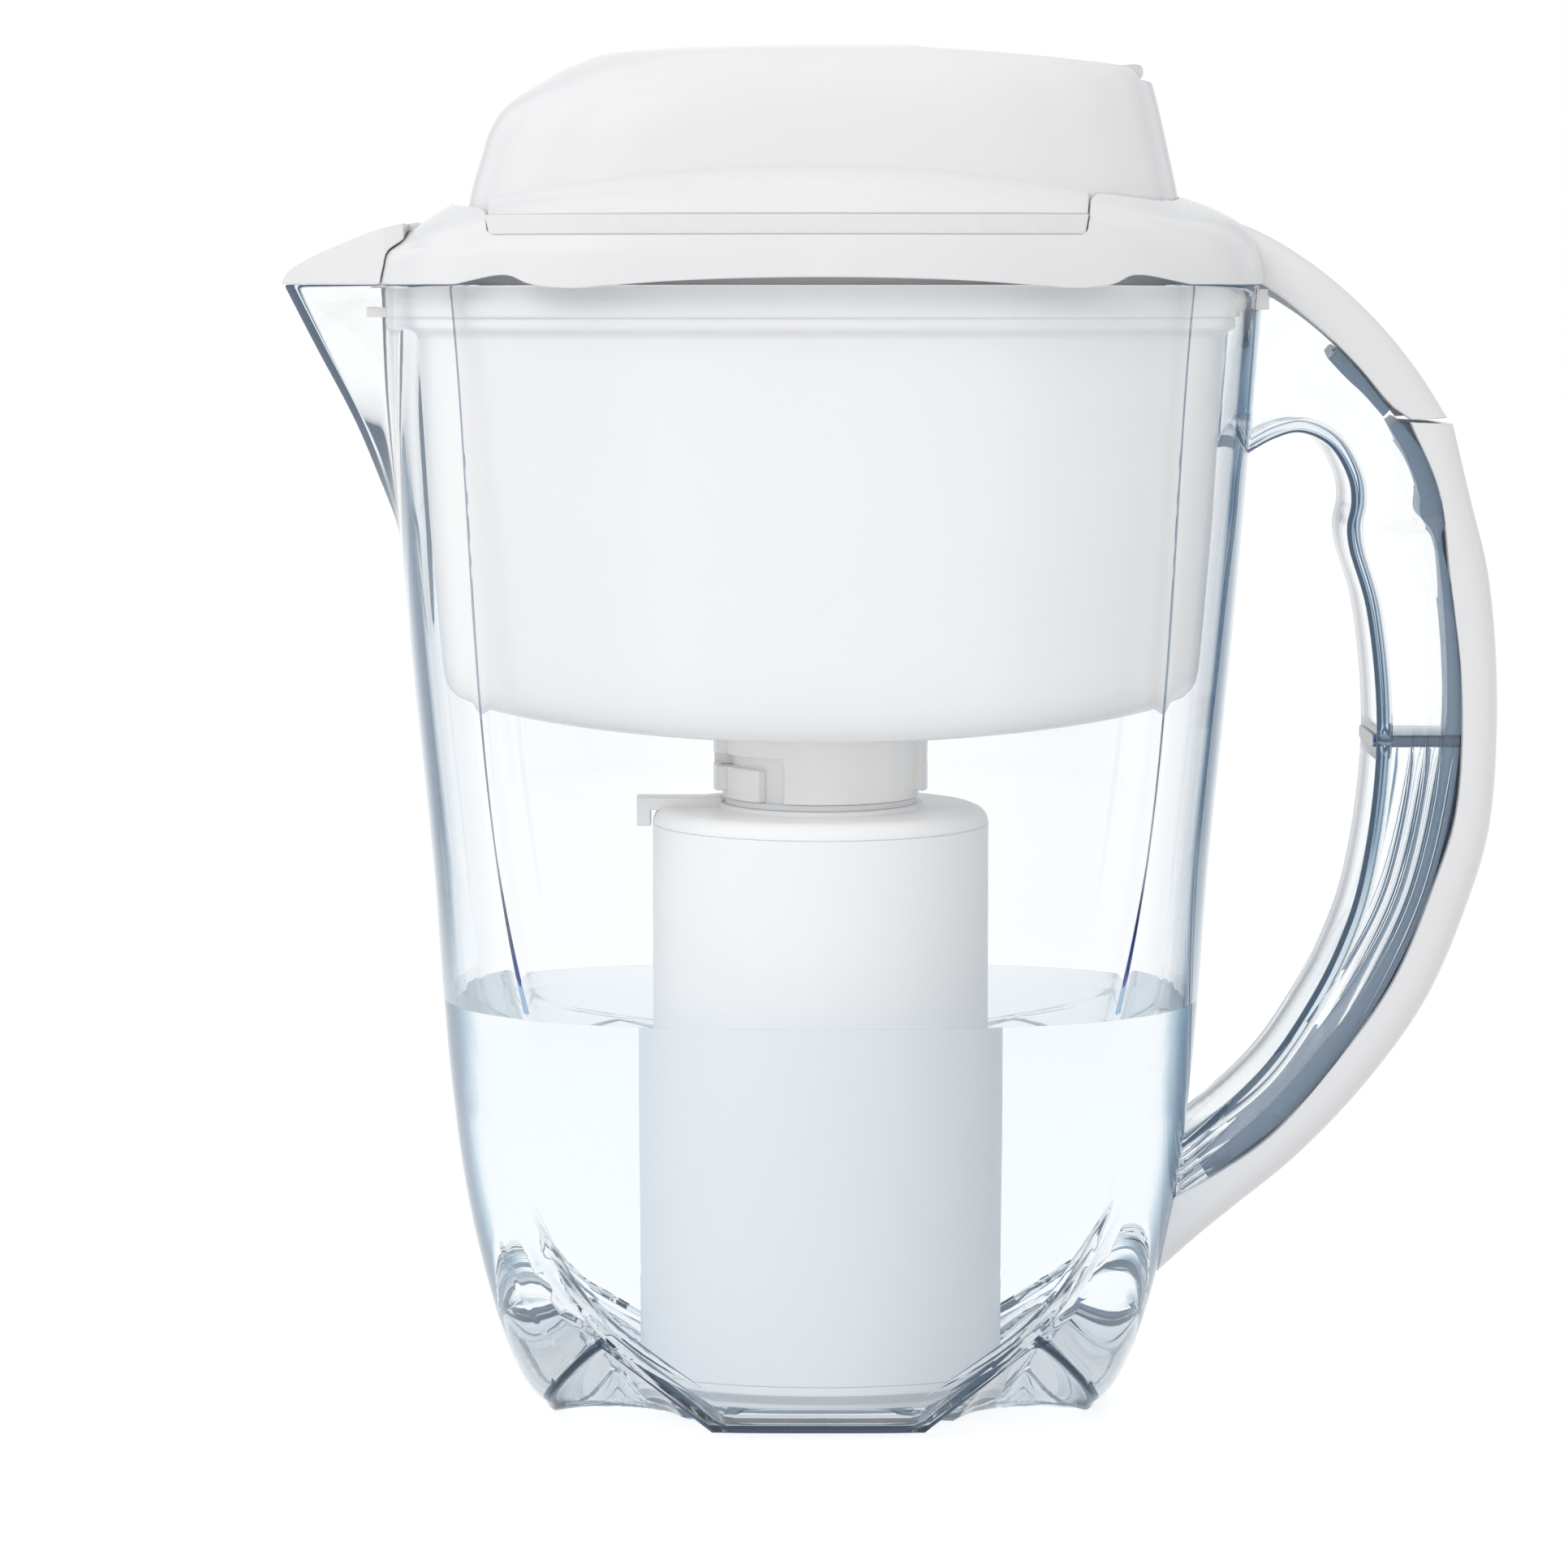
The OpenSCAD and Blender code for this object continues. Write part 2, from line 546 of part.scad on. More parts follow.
liner_z = recess_z + 0.05;
liner_t = 3.7;
module lid_ring() {
    color(white) at_rim() moulding() difference() {
        union() {
            difference() {
                crown(0, 0);
                crown(lid_wall, lid_wall + 0.2);
                translate([0, 0, -2.15])
                    skin([for (z = [0, 5]) [for (p = crown_ring(crown_rows[0], lid_wall, 0)) [p.x, p.y, z]]]);
            }
            // Ears for the spout flap's pin
            for (side = [-1, 1])
                intersection() {
                    translate([spout_pivot.x, side * 9.4, spout_pivot.y])
                        rotate([90, 0, 0])
                            cylinder(h = 3, d = 4.2, center = true, $fn = 24);
                    crown(0.1, 0.1);
                }
        }
        recess(0, recess_z);
        dome_block(-lid_gap, 0, 8);
        translate([-82, -spout_barrel_w / 2 - 0.4, 7])
            cube([7.2, spout_barrel_w + 0.8, 12]);
        spout_pin_hole(spout_pin_d + 0.06, 24);
    }
}

// Upper handle cover, which lifts off with the lid
cap_outer = curve([[70, 13.5], [80, 11.6], [93.3, 4.6], [106, -5.7], [114.7, -16], [120.8, -25.4]], 2);
cap_inner = curve([[66, 1.5], [82, 0.6], [93.6, -6.9], [103.1, -15.6], [109.6, -23], [113.3, -25.7]], 2);
module handle_cap() {
    color(white) at_rim() moulding() difference() {
        cover(cap_outer, cap_inner);
        crown_clearance(cover_gap);
        translate([0, 0, -jug_h])
            handle_clearance();
    }
}

// Liner: carries the dome on the ring and locates the lid in the reservoir's mouth
liner_hole = [63, 33.6];
skirt_size = [77.2, 43.8];
skirt_wall = 1.8;
skirt_depth = 7;
deck_z = 1.2;
deck_t = 1.8;
function oval_ring(w, d, z) =
    [for (i = [0:tank_steps - 1])
        let (p = outline_point(-w * lid_s, w * lid_s, d * lid_sd, tank_square, tank_square, 360 * i / tank_steps))
        [p.x, p.y, z]];
module oval(w, d, z1, z2) skin([oval_ring(w, d, z1), oval_ring(w, d, z2)]);
module lid_liner() {
    color(white) at_rim() moulding() difference() {
        union() {
            intersection() {
                skin([for (z = [liner_z, liner_z + liner_t])
                    [for (p = crown_ring(crown_rows[3], 0.9, 0)) [p.x, p.y, z]]]);
                recess(lid_gap, 5);
            }
            oval(65.4, 37, deck_z, liner_z + 2.4);
            oval(skirt_size.x, skirt_size.y, -skirt_depth, deck_z + deck_t);
        }
        oval(liner_hole.x, liner_hole.y, -20, 30);
        oval(skirt_size.x - skirt_wall, skirt_size.y - skirt_wall, -20, deck_z);
    }
}

// Flip flap: a panel in the sloping top of the dome that swings up about its front edge
flap_end = 60.6;
flap_gap = 0.3;
pivot_drop = 2.1;
flap_pivot = [flap_front + 2.9, flap_front_z - 2.9 * tan(flap_slope) - pivot_drop / cos(flap_slope)];
flap_pin_d = 2.2;
flap_pin_l = flap_w + 8;
flap_len = flap_end - flap_pivot.x;
flap_corner = 6;
pad_t = 6.4;
module flap_pin_hole(d, length) {
    translate([flap_pivot.x, 0, flap_pivot.y])
        rotate([90, 0, 0])
            cylinder(h = length, d = d, center = true, $fn = 48);
}
// Side view and plan in the flap's own axes: X along the slope from the pivot, Y up from it
module at_flap() translate([flap_pivot.x, 0, flap_pivot.y]) rotate([0, flap_slope, 0]) children();

module lid_dome() {
    color(white) at_rim() moulding() difference() {
        union() {
            difference() {
                union() {
                    dome_block(0, 0, 10);
                    intersection() {
                        crown(0.9, 0.8);
                        recess(lid_gap, 9);
                    }
                }
                dome_block(lid_wall, lid_wall, 5);
                intersection() {
                    crown(0.9 + lid_wall, 0.8 + lid_wall);
                    recess(lid_gap + 1.6, 5);
                }
            }
            // Pad under the flap that carries its seat and the ends of its pin
            intersection() {
                dome_block(0.4, 0.1, 5);
                at_flap()
                    translate([-4.6, -flap_w / 2 - 5, pivot_drop - pad_t])
                        cube([flap_len + 5.4, flap_w + 10, pad_t + 1]);
            }
        }
        translate([-100, -100, -20])
            cube([200, 200, liner_z + liner_t + 0.05 + 20]);
        // Seat of the flap, groove of its hinge and the fill opening
        at_flap() {
            translate([0, -flap_w / 2 - flap_gap, pivot_drop - flap_t - 0.3])
                cube([flap_len + 12, flap_w + 2 * flap_gap, 8]);
            translate([-pivot_drop - flap_gap, -flap_w / 2 - flap_gap, 0])
                cube([10, flap_w + 2 * flap_gap, 8]);
            translate([6, -flap_w / 2 + 4, -20])
                cube([flap_len - 13, flap_w - 8, 30]);
        }
        flap_pin_hole(2 * (pivot_drop + flap_gap), flap_w + 2 * flap_gap);
        flap_pin_hole(flap_pin_d + 0.06, flap_pin_l + 1);
    }
}

module fill_flap() {
    color(white) at_rim() difference() {
        union() {
            at_flap() intersection() {
                across(flap_w)
                    polygon([[0, pivot_drop], [0, pivot_drop - flap_t], [flap_len - 1, pivot_drop - flap_t],
                        [flap_len, pivot_drop - flap_t + 0.6], [flap_len, pivot_drop - 0.5],
                        [flap_len - 0.8, pivot_drop + 0.1], [flap_len - 2, pivot_drop + 0.3],
                        [flap_len - 4, pivot_drop]]);
                // Rounds the rear corners
                linear_extrude(height = 40, center = true)
                    offset(r = flap_corner, $fn = 48)
                        translate([-20, flap_corner - flap_w / 2 - 0.02])
                            square([20 + flap_len - flap_corner, flap_w + 0.04 - 2 * flap_corner]);
            }
            flap_pin_hole(2 * pivot_drop - 0.2, flap_w - 0.6);
        }
        flap_pin_hole(flap_pin_d + 2 * neck_play, flap_w + 4);
    }
}

module fill_flap_pin() color(steel) at_rim() flap_pin_hole(flap_pin_d, flap_pin_l);

// Spout flap: a thin cap over the spout whose rear tongue turns on the ring
spout_flap_wall = 1.8;
spout_top = [[-78.9, 9], [-78.9, 11.5], [-84.6, 9.9], [-91.9, 7.3], [-99.2, 4.4], [-103, 1.9], [-103.9, 0.1]];
module spout_plan(inset) {
    tip = spout_reach - inset * 1.3;
    y = 17.6 - inset;
    linear_extrude(height = 60, center = true)
        polygon([[-70, y], [-82.5, y], [-tip + 3.6, 3.2], [-tip + 1, 2], [-tip, 0],
            [-tip + 1, -2], [-tip + 3.6, -3.2], [-82.5, -y], [-70, -y]]);
}
module spout_flap() {
    color(white) at_rim() difference() {
        union() {
            moulding() difference() {
                intersection() {
                    across(60) polygon(concat(spout_top, [[-78.9, 0.1]]));
                    spout_plan(0);
                }
                crown_clearance(lid_gap);
                intersection() {
                    translate([0, 0, -spout_flap_wall])
                        across(60) polygon([for (p = spout_top) [p.x, p.y]]);
                    spout_plan(spout_flap_wall);
                    translate([-200, -50, -50])
                        cube([200 - 88, 100, 100]);
                }
            }
            across(spout_barrel_w)
                polygon([[-81.5, 9.4], [-81.5, 10.8], [-78.9, 11.5], [spout_pivot.x, 11.8], [spout_pivot.x, 8.4],
                    [-79, 9]]);
            spout_pin_hole(spout_barrel_d, spout_barrel_w);
        }
        spout_pin_hole(spout_pin_d + 2 * neck_play, 40);
    }
}

module spout_flap_pin() color(steel) at_rim() spout_pin_hole(spout_pin_d, spout_pin_l);

jug();
handle_grip();
handle_cover();
reservoir();
filter_socket();
cartridge_shell();
cartridge_cap();
cartridge_base();
neck_seal();
inlet_screen();
upper_fleece();
filter_bed();
lower_fleece();
lid_ring();
handle_cap();
lid_liner();
lid_dome();
fill_flap();
fill_flap_pin();
spout_flap();
spout_flap_pin();
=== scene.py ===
"""Looks of the water filter pitcher: clear jug, white reservoir, cartridge and lid, half filled with water.

Lengths are millimetres in the CAD frame unless a name says otherwise. The jug, its handle and the water are
given by height over the table, the reservoir and the lid by height over the jug's rim. X starts at the
cartridge's axis, with the spout towards -X and the front towards -Y.
"""

import math

import bmesh
import bpy
import numpy as np
from mathutils import Matrix, Vector


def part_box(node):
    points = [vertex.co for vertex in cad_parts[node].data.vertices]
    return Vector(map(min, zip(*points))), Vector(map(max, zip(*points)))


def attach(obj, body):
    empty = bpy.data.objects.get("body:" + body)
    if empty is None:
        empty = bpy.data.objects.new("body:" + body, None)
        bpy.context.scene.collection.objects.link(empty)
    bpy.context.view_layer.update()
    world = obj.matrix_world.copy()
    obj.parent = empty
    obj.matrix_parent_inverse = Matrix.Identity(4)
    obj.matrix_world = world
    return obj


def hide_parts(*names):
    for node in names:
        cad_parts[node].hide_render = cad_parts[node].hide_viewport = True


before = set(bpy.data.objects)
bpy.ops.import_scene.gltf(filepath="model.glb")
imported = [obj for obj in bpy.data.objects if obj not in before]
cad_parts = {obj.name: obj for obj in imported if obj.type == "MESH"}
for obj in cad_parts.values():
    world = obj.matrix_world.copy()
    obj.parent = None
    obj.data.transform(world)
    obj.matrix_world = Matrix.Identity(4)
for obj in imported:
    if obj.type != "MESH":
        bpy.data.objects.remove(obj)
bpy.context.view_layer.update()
MM = 0.001


def box_mm(node):
    return np.array(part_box(node)) / MM


AXIS_X = float(box_mm("filter_bed")[:, 0].sum() / 2)
RIM_Z = float(box_mm("jug")[1][2])
SPOUT_TIP = AXIS_X - float(box_mm("jug")[0][0])

# -------- camera

# The photograph's width in pixels and its row at the height of the rim, where the camera stands
PHOTO_W, HORIZON_PX = 1932, 350.5
LENS_MM, SENSOR_MM, SHIFT = 102.7, 36.0, -0.14
FOCAL_PX = PHOTO_W * LENS_MM / SENSOR_MM
CAMERA_SIDE, CAMERA_DISTANCE = -7.1, 864.2
CLIP_M = (0.01, 50)

data = bpy.data.cameras.new("camera")
data.lens, data.sensor_width, data.shift_y = LENS_MM, SENSOR_MM, SHIFT
data.clip_start, data.clip_end = CLIP_M
camera = bpy.data.objects.new("camera", data)
bpy.context.scene.collection.objects.link(camera)
camera.location = ((AXIS_X + CAMERA_SIDE) * MM, -CAMERA_DISTANCE * MM, RIM_Z * MM)
tilt = math.atan((PHOTO_W * (0.5 + SHIFT) - HORIZON_PX) / FOCAL_PX)
camera.rotation_euler = (math.pi / 2 - tilt, 0, 0)
bpy.context.scene.camera = camera

# -------- curves and meshes


def smooth(rows, x):
    """Monotone cubic through the rows [x, value], held level past both ends."""
    px, py = np.array(rows, float).T
    h, d = np.diff(px), np.diff(py) / np.diff(px)
    m = np.concatenate([[d[0]], (d[:-1] + d[1:]) / 2, [d[-1]]])
    m[1:-1][d[:-1] * d[1:] <= 0] = 0
    for k in range(len(d)):
        if d[k] == 0:
            m[k] = m[k + 1] = 0
        else:
            big = math.hypot(m[k] / d[k], m[k + 1] / d[k]) / 3
            if big > 1:
                m[k], m[k + 1] = m[k] / big, m[k + 1] / big
    x = np.clip(x, px[0], px[-1])
    k = np.clip(np.searchsorted(px, x, side="right") - 1, 0, len(d) - 1)
    t = (x - px[k]) / h[k]
    return ((1 + 2 * t) * (1 - t) ** 2 * py[k] + t * (1 - t) ** 2 * h[k] * m[k]
            + t * t * (3 - 2 * t) * py[k + 1] + t * t * (t - 1) * h[k] * m[k + 1])


def level(rows, x):
    """Straight lines through the rows [x, value]."""
    return np.interp(x, *np.array(rows, float).T)


def blend_max(a, b, k):
    """The larger of a and b, with a fillet of about k between them."""
    h = np.clip(0.5 + 0.5 * (a - b) / k, 0, 1)
    return b + (a - b) * h + k * h * (1 - h)


def blend_min(a, b, k):
    return -blend_max(-a, -b, k)


def finish_mesh(o, body, material, smooth_angle):
    """Shades the piece, with sharp edges past the angle, and lets it ride on its body."""
    o.data.shade_smooth()
    o.data.set_sharp_from_angle(angle=math.radians(smooth_angle))
    o.data.materials.clear()
    o.data.materials.append(material)
    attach(o, body)


def sheet_faces(rows, columns, close_rows=False):
    """Quads of a grid of rows of points; its columns always close on themselves."""
    i, j = np.meshgrid(np.arange(rows if close_rows else rows - 1), np.arange(columns), indexing="ij")
    a, b = i * columns + j, i * columns + (j + 1) % columns
    up = (((i + 1) % rows) - i) * columns
    return np.stack([a, b, b + up, a + up], -1).reshape(-1, 4).tolist()


def solid(name, points, faces, lift=0):
    """Mesh from points around the cartridge's axis, in millimetres, with its faces turned outward."""
    mesh = bpy.data.meshes.new(name)
    points = np.asarray(points, float).reshape(-1, 3) + [AXIS_X, 0, lift]
    mesh.from_pydata((points * MM).tolist(), [], faces)
    mesh.update()
    o = bpy.data.objects.new(name, mesh)
    bpy.context.scene.collection.objects.link(o)
    bm = bmesh.new()
    bm.from_mesh(mesh)
    bmesh.ops.recalc_face_normals(bm, faces=bm.faces)
    if bm.calc_volume(signed=True) < 0:
        bmesh.ops.reverse_faces(bm, faces=bm.faces)
    bm.to_mesh(mesh)
    bm.free()
    return o


def capped(name, rings, lift=0):
    """Solid over rings, with flat ends."""
    m, n = np.shape(rings)[:2]
    ends = [list(range(n))[::-1], [(m - 1) * n + k for k in range(n)]]
    return solid(name, rings, sheet_faces(m, n) + ends, lift)


def domed(name, rings, first, last):
    """Solid over rings, with a fan to a point on the middle line, at its height, at each end."""
    rings = np.asarray(rings, float)
    m, n = rings.shape[:2]
    points = np.concatenate([rings.reshape(-1, 3), [[0, 0, first], [0, 0, last]]])
    fans = [[m * n, (k + 1) % n, k] for k in range(n)]
    top = (m - 1) * n
    fans += [[m * n + 1, top + k, top + (k + 1) % n] for k in range(n)]
    return solid(name, points, sheet_faces(m, n) + fans)


def combine(o, others, operation):
    """Joins o with other meshes, or cuts it with them; they are then removed."""
    for other in others:
        m = o.modifiers.new("solid", "BOOLEAN")
        m.operation, m.object, m.solver = operation, other, "MANIFOLD"
    deps = bpy.context.evaluated_depsgraph_get()
    done = bpy.data.meshes.new_from_object(o.evaluated_get(deps))
    o.modifiers.clear()
    o.data = done
    for other in others:
        bpy.data.objects.remove(other)
    return o


def cut(o, *tools):
    return combine(o, tools, "DIFFERENCE")


def join(o, *tools):
    return combine(o, tools, "UNION")


def common(o, tool):
    return combine(o, [tool], "INTERSECT")


# -------- materials


def put(tree, value, socket):
    """Links an output to the socket, or gives it a number or a colour."""
    if isinstance(value, bpy.types.NodeSocket):
        tree.links.new(value, socket)
    else:
        socket.default_value = (*value, 1) if isinstance(value, tuple) else value


def node(tree, kind, **values):
    """Outputs of a new node. Values go to the sockets of their names, _ for a blank, or else to settings."""
    n = tree.nodes.new(kind)
    for key, value in values.items():
        socket = n.inputs.get(key.replace("_", " "))
        if socket is None:
            setattr(n, key, value)
        else:
            put(tree, value, socket)
    return n.outputs


def in_order(tree, kind, *values, **settings):
    """First output of a new node whose sockets are filled in their order."""
    n = tree.nodes.new(kind)
    for key, value in settings.items():
        setattr(n, key, value)
    for value, socket in zip(values, n.inputs):
        put(tree, value, socket)
    return n.outputs[0]


def calculate(tree, operation, *values):
    return in_order(tree, "ShaderNodeMath", *values, operation=operation)


def mix_shaders(tree, factor, first, second):
    return in_order(tree, "ShaderNodeMixShader", factor, first, second)


def mix_colours(tree, factor, a, b, blend="MIX"):
    """Colour a, or b where the factor is 1."""
    return node(tree, "ShaderNodeMix", data_type="RGBA", blend_type=blend, Factor=factor, A=a, B=b)["Result"]


def new_material(name):
    m = bpy.data.materials.new(name)
    m.use_nodes = True
    tree = m.node_tree
    tree.nodes.clear()
    return m, tree, tree.nodes.new("ShaderNodeOutputMaterial").inputs


def object_noise(tree, scale):
    """Noise in the piece's own coordinates, in cycles per metre."""
    place = node(tree, "ShaderNodeTexCoord")["Object"]
    return node(tree, "ShaderNodeTexNoise", Scale=scale, Detail=3.0, Vector=place)["Fac"]


NOISE_RANGE = (0.3, 0.7)


def remap(tree, value, low, high, known=NOISE_RANGE):
    """Stretches a value's known range to the range from low to high."""
    return node(tree, "ShaderNodeMapRange", From_Min=known[0], From_Max=known[1], To_Min=low, To_Max=high,
                Value=value)["Result"]


# Noise in cycles per metre, rounding that the shading gives to edges, and height of the grain
DRIFT_SCALE, GLOSS_SCALE, CLEAR_SCALE, GRAIN_SCALE = 35, 160, 60, 2500
EDGE_RADIUS, EDGE_SAMPLES, GRAIN_M = 0.45, 6, 0.00002


def plastic(name, colour, variation, roughness, grain=0.0, ior=1.5):
    """Moulded plastic with a faint drift of colour and gloss, and fine grain where it is given."""
    m, tree, out = new_material(name)
    other = tuple(c * (1 - variation) for c in colour)
    drift = mix_colours(tree, object_noise(tree, DRIFT_SCALE), colour, other)
    gloss = remap(tree, object_noise(tree, GLOSS_SCALE), roughness * 0.85, roughness * 1.2)
    normal = node(tree, "ShaderNodeBevel", Radius=EDGE_RADIUS * MM, samples=EDGE_SAMPLES)["Normal"]
    if grain:
        normal = node(tree, "ShaderNodeBump", Strength=grain, Distance=GRAIN_M, Normal=normal,
                      Height=object_noise(tree, GRAIN_SCALE))["Normal"]
    shader = node(tree, "ShaderNodeBsdfPrincipled", IOR=ior, Base_Color=drift, Roughness=gloss, Normal=normal)
    put(tree, shader["BSDF"], out["Surface"])
    return m


# Light that stands in for the rest of a path after so many crossings or reflections
STAND_INS = (("Transmission Depth", 9.5, (0.86, 0.92, 0.96)), ("Glossy Depth", 2.5, (0.06, 0.1, 0.15)))


def clear(name, ior, tint, density, roughness, pass_tint, surface=(1, 1, 1)):
    """Clear plastic or water, which lamps and diffuse light cross straight, tinted by pass_tint."""
    m, tree, out = new_material(name)
    gloss = remap(tree, object_noise(tree, CLEAR_SCALE), roughness * 0.6, roughness * 1.4)
    shader = node(tree, "ShaderNodeBsdfPrincipled", IOR=ior, Base_Color=surface, Transmission_Weight=1.0,
                  Roughness=gloss)["BSDF"]
    through = node(tree, "ShaderNodeBsdfTransparent", Color=pass_tint)["BSDF"]
    path = node(tree, "ShaderNodeLightPath")
    straight = calculate(tree, "MAXIMUM", path["Is Shadow Ray"], path["Is Diffuse Ray"])
    shown = mix_shaders(tree, straight, shader, through)
    for depth, most, colour in STAND_INS:
        often = calculate(tree, "GREATER_THAN", path[depth], most)
        rest = node(tree, "ShaderNodeEmission", Strength=1.0, Color=colour)["Emission"]
        shown = mix_shaders(tree, often, shown, rest)
    put(tree, shown, out["Surface"])
    absorb = node(tree, "ShaderNodeVolumeAbsorption", Density=density, Color=tint)["Volume"]
    put(tree, absorb, out["Volume"])
    return m


JUG_PLASTIC = (1.55, (0.3, 0.6, 0.85), 7.0, 0.01)
CLEAR = clear("clear_jug", *JUG_PLASTIC, (0.99, 0.995, 1.0))
# Painted shade: a bluer tint and darker light through them, for the dark lines at the front creases, the
# base's edge and the rib
CREASE_SHADE = clear("clear_crease_painted_shade", *JUG_PLASTIC, (0.98, 0.99, 1.0), (0.62, 0.77, 0.87))
EDGE_SHADE = clear("clear_edge_painted_shade", *JUG_PLASTIC, (0.9, 0.94, 0.97), (0.06, 0.1, 0.16))
WATER = clear("water", 1.333, (0.45, 0.75, 0.9), 1.7, 0.004, (0.86, 0.9, 0.94))
WHITE = plastic("white_gloss", (0.8, 0.8, 0.81), 0.012, 0.16)
TANK = plastic("white_tank", (0.97, 0.945, 0.925), 0.012, 0.22)
CARTRIDGE = plastic("white_satin", (0.97, 0.95, 0.935), 0.015, 0.35, ior=1.22)
# Dark blue-grey: painted shade for the white covers' insides, seen through the clear handle
SHADED_INSIDE = plastic("painted_shade_inside", (0.14, 0.21, 0.3), 0.03, 0.3)
SEAL = plastic("silicone", (0.8, 0.81, 0.83), 0.03, 0.5, grain=0.3)
PIN = plastic("pin_satin", (0.84, 0.84, 0.85), 0.02, 0.25)

# -------- jug

JUG_WALL, FLOOR_WALL, PANEL_RISE, FOOT, LIP = 2.6, 2.0, 1.1, 0.8, 0.8
# By height: half width and half depth, squareness, half width of the panels, share of their rise, wall
SIZE_ROWS = [[0.8, 53.5, 33.5], [2.1, 53.9, 33.9], [4.4, 56.5, 36.2], [12, 60.6, 39], [25, 64.8, 41.8],
             [42, 68.7, 44.4], [61, 71.4, 46.6], [80, 73.1, 48.2], [104, 74.8, 49], [147, 79, 50.2],
             [185, 82.2, 51], [217, 84.5, 51.5]]
WIDTH_ROWS, DEPTH_ROWS = ([[r[0], r[k]] for r in SIZE_ROWS] for k in (1, 2))
SQUARE_ROWS = [[0, 3], [60, 2.6], [217, 2.5]]
PANEL_ROWS = [[9, 3], [12.4, 10], [18.6, 20.6], [28, 30.4], [46.5, 42.6], [81, 55.5], [217, 69]]
PANEL_FADE = [[8, 0], [66, 0], [80, 0.3], [110, 1]]
WALL_ROWS = [[0, 1.5], [30, 1.7], [80, 2.5], [104, 2.6], [217, 2.6]]
# By height: the spout's share of its reach at the rim, and its half width at the wall
SPOUT_ROWS = [[146, 0], [162, 0.09], [171, 0.2], [187.7, 0.42], [193, 0.51], [205.7, 0.77], [217, 1]]
SPOUT_WIDTHS = [[146, 4], [162, 8.5], [171, 11], [187.7, 14], [205.7, 16.5], [217, 17.5]]
SPOUT_OUT = SPOUT_TIP - WIDTH_ROWS[-1][1]
SPOUT_TIP_R, SPOUT_TIP_SHARE, SPOUT_BLEND, SPOUT_FILLET = 3.4, 0.3, 2.4, 1.5
# The spout's lowest height, its depth inside the wall there and the rise until it is flush; the share of the
# jug's half width at which its sides start, and half the angle that it takes up
SPOUT_LOW, SPOUT_SINK, SPOUT_SINK_RISE, SPOUT_ROOT, SPOUT_ANGLE = 140, 3, 12, 0.97, 0.5
# Notches between the base's lobes: leaning cones with a rounded tip near the wall
NOTCH_FOOT, NOTCH_R, NOTCH_TIP, NOTCH_TIP_Z, NOTCH_ROUND = (41.0, 29.0), 17.2, (38.9, 35.8), 21.4, 2.5
UNDER_FILLET, FLOOR_FILLET, OUTER_CORNER, INNER_CORNER = 0.8, 1.6, 0.8, 0.9

# Places of the columns; on the spout's side in degrees from its middle, at the rim, and fine near the tip
SIDE_HALF = 27.3
SIDE_COARSE = np.linspace(0, 1, 34)
SIDE_FINE = np.concatenate([np.arange(0, 2.2, 0.22), np.arange(2.2, 13, 0.55), np.arange(13, SIDE_HALF, 1.1),
                            [SIDE_HALF]]) / SIDE_HALF
PANEL_EDGE, PANEL_STEPS = np.array([0, 0.004, 0.008, 0.012]), 76
# Share of the rise by segment: handle side, back, spout side, front
PANEL_SHARES = (0.0, 0.35, 0.0, 1.0)


def mirrored(half):
    """Places from 0 to 1, mirrored, from half of them that run from 0 in the middle to 1."""
    return (np.concatenate([-half[:0:-1], half]) + 1) / 2


def jug_columns():
    """Segment number, place along it from 0 to 1 and share of the panel's rise, for each column."""
    inner = np.linspace(PANEL_EDGE[-1], 1 - PANEL_EDGE[-1], PANEL_STEPS)[1:-1]
    panel = np.concatenate([PANEL_EDGE, inner, 1 - PANEL_EDGE[::-1]])
    rows = []
    for segment, places in enumerate([mirrored(SIDE_COARSE), panel, mirrored(SIDE_FINE), panel]):
        for t in places[:-1]:
            edge = min(min(t, 1 - t) / PANEL_EDGE[-1], 1.0)
            rows.append([segment, t, edge * PANEL_SHARES[segment]])
    return np.array(rows)


COLUMNS = jug_columns()


def superellipse(w, d, n, phi):
    """Distance from the middle to a rounded outline, along direction phi."""
    return ((np.abs(np.cos(phi)) / w) ** n + (np.abs(np.sin(phi)) / d) ** n) ** (-1 / n)


def column_angle(z):
    """Direction of every column at its height z, so that columns follow the creases."""
    w, d, n = smooth(WIDTH_ROWS, z), smooth(DEPTH_ROWS, z), level(SQUARE_ROWS, z)
    panel = smooth(PANEL_ROWS, z)
    crease = np.arctan2(d * (1 - (panel / w) ** n) ** (1 / n), panel)
    segment, t = COLUMNS[:, 0], COLUMNS[:, 1]
    start = np.choose(segment.astype(int), [-crease, crease, np.pi - crease, np.pi + crease])
    end = np.choose(segment.astype(int), [crease, np.pi - crease, np.pi + crease, 2 * np.pi - crease])
    return start + (end - start) * t


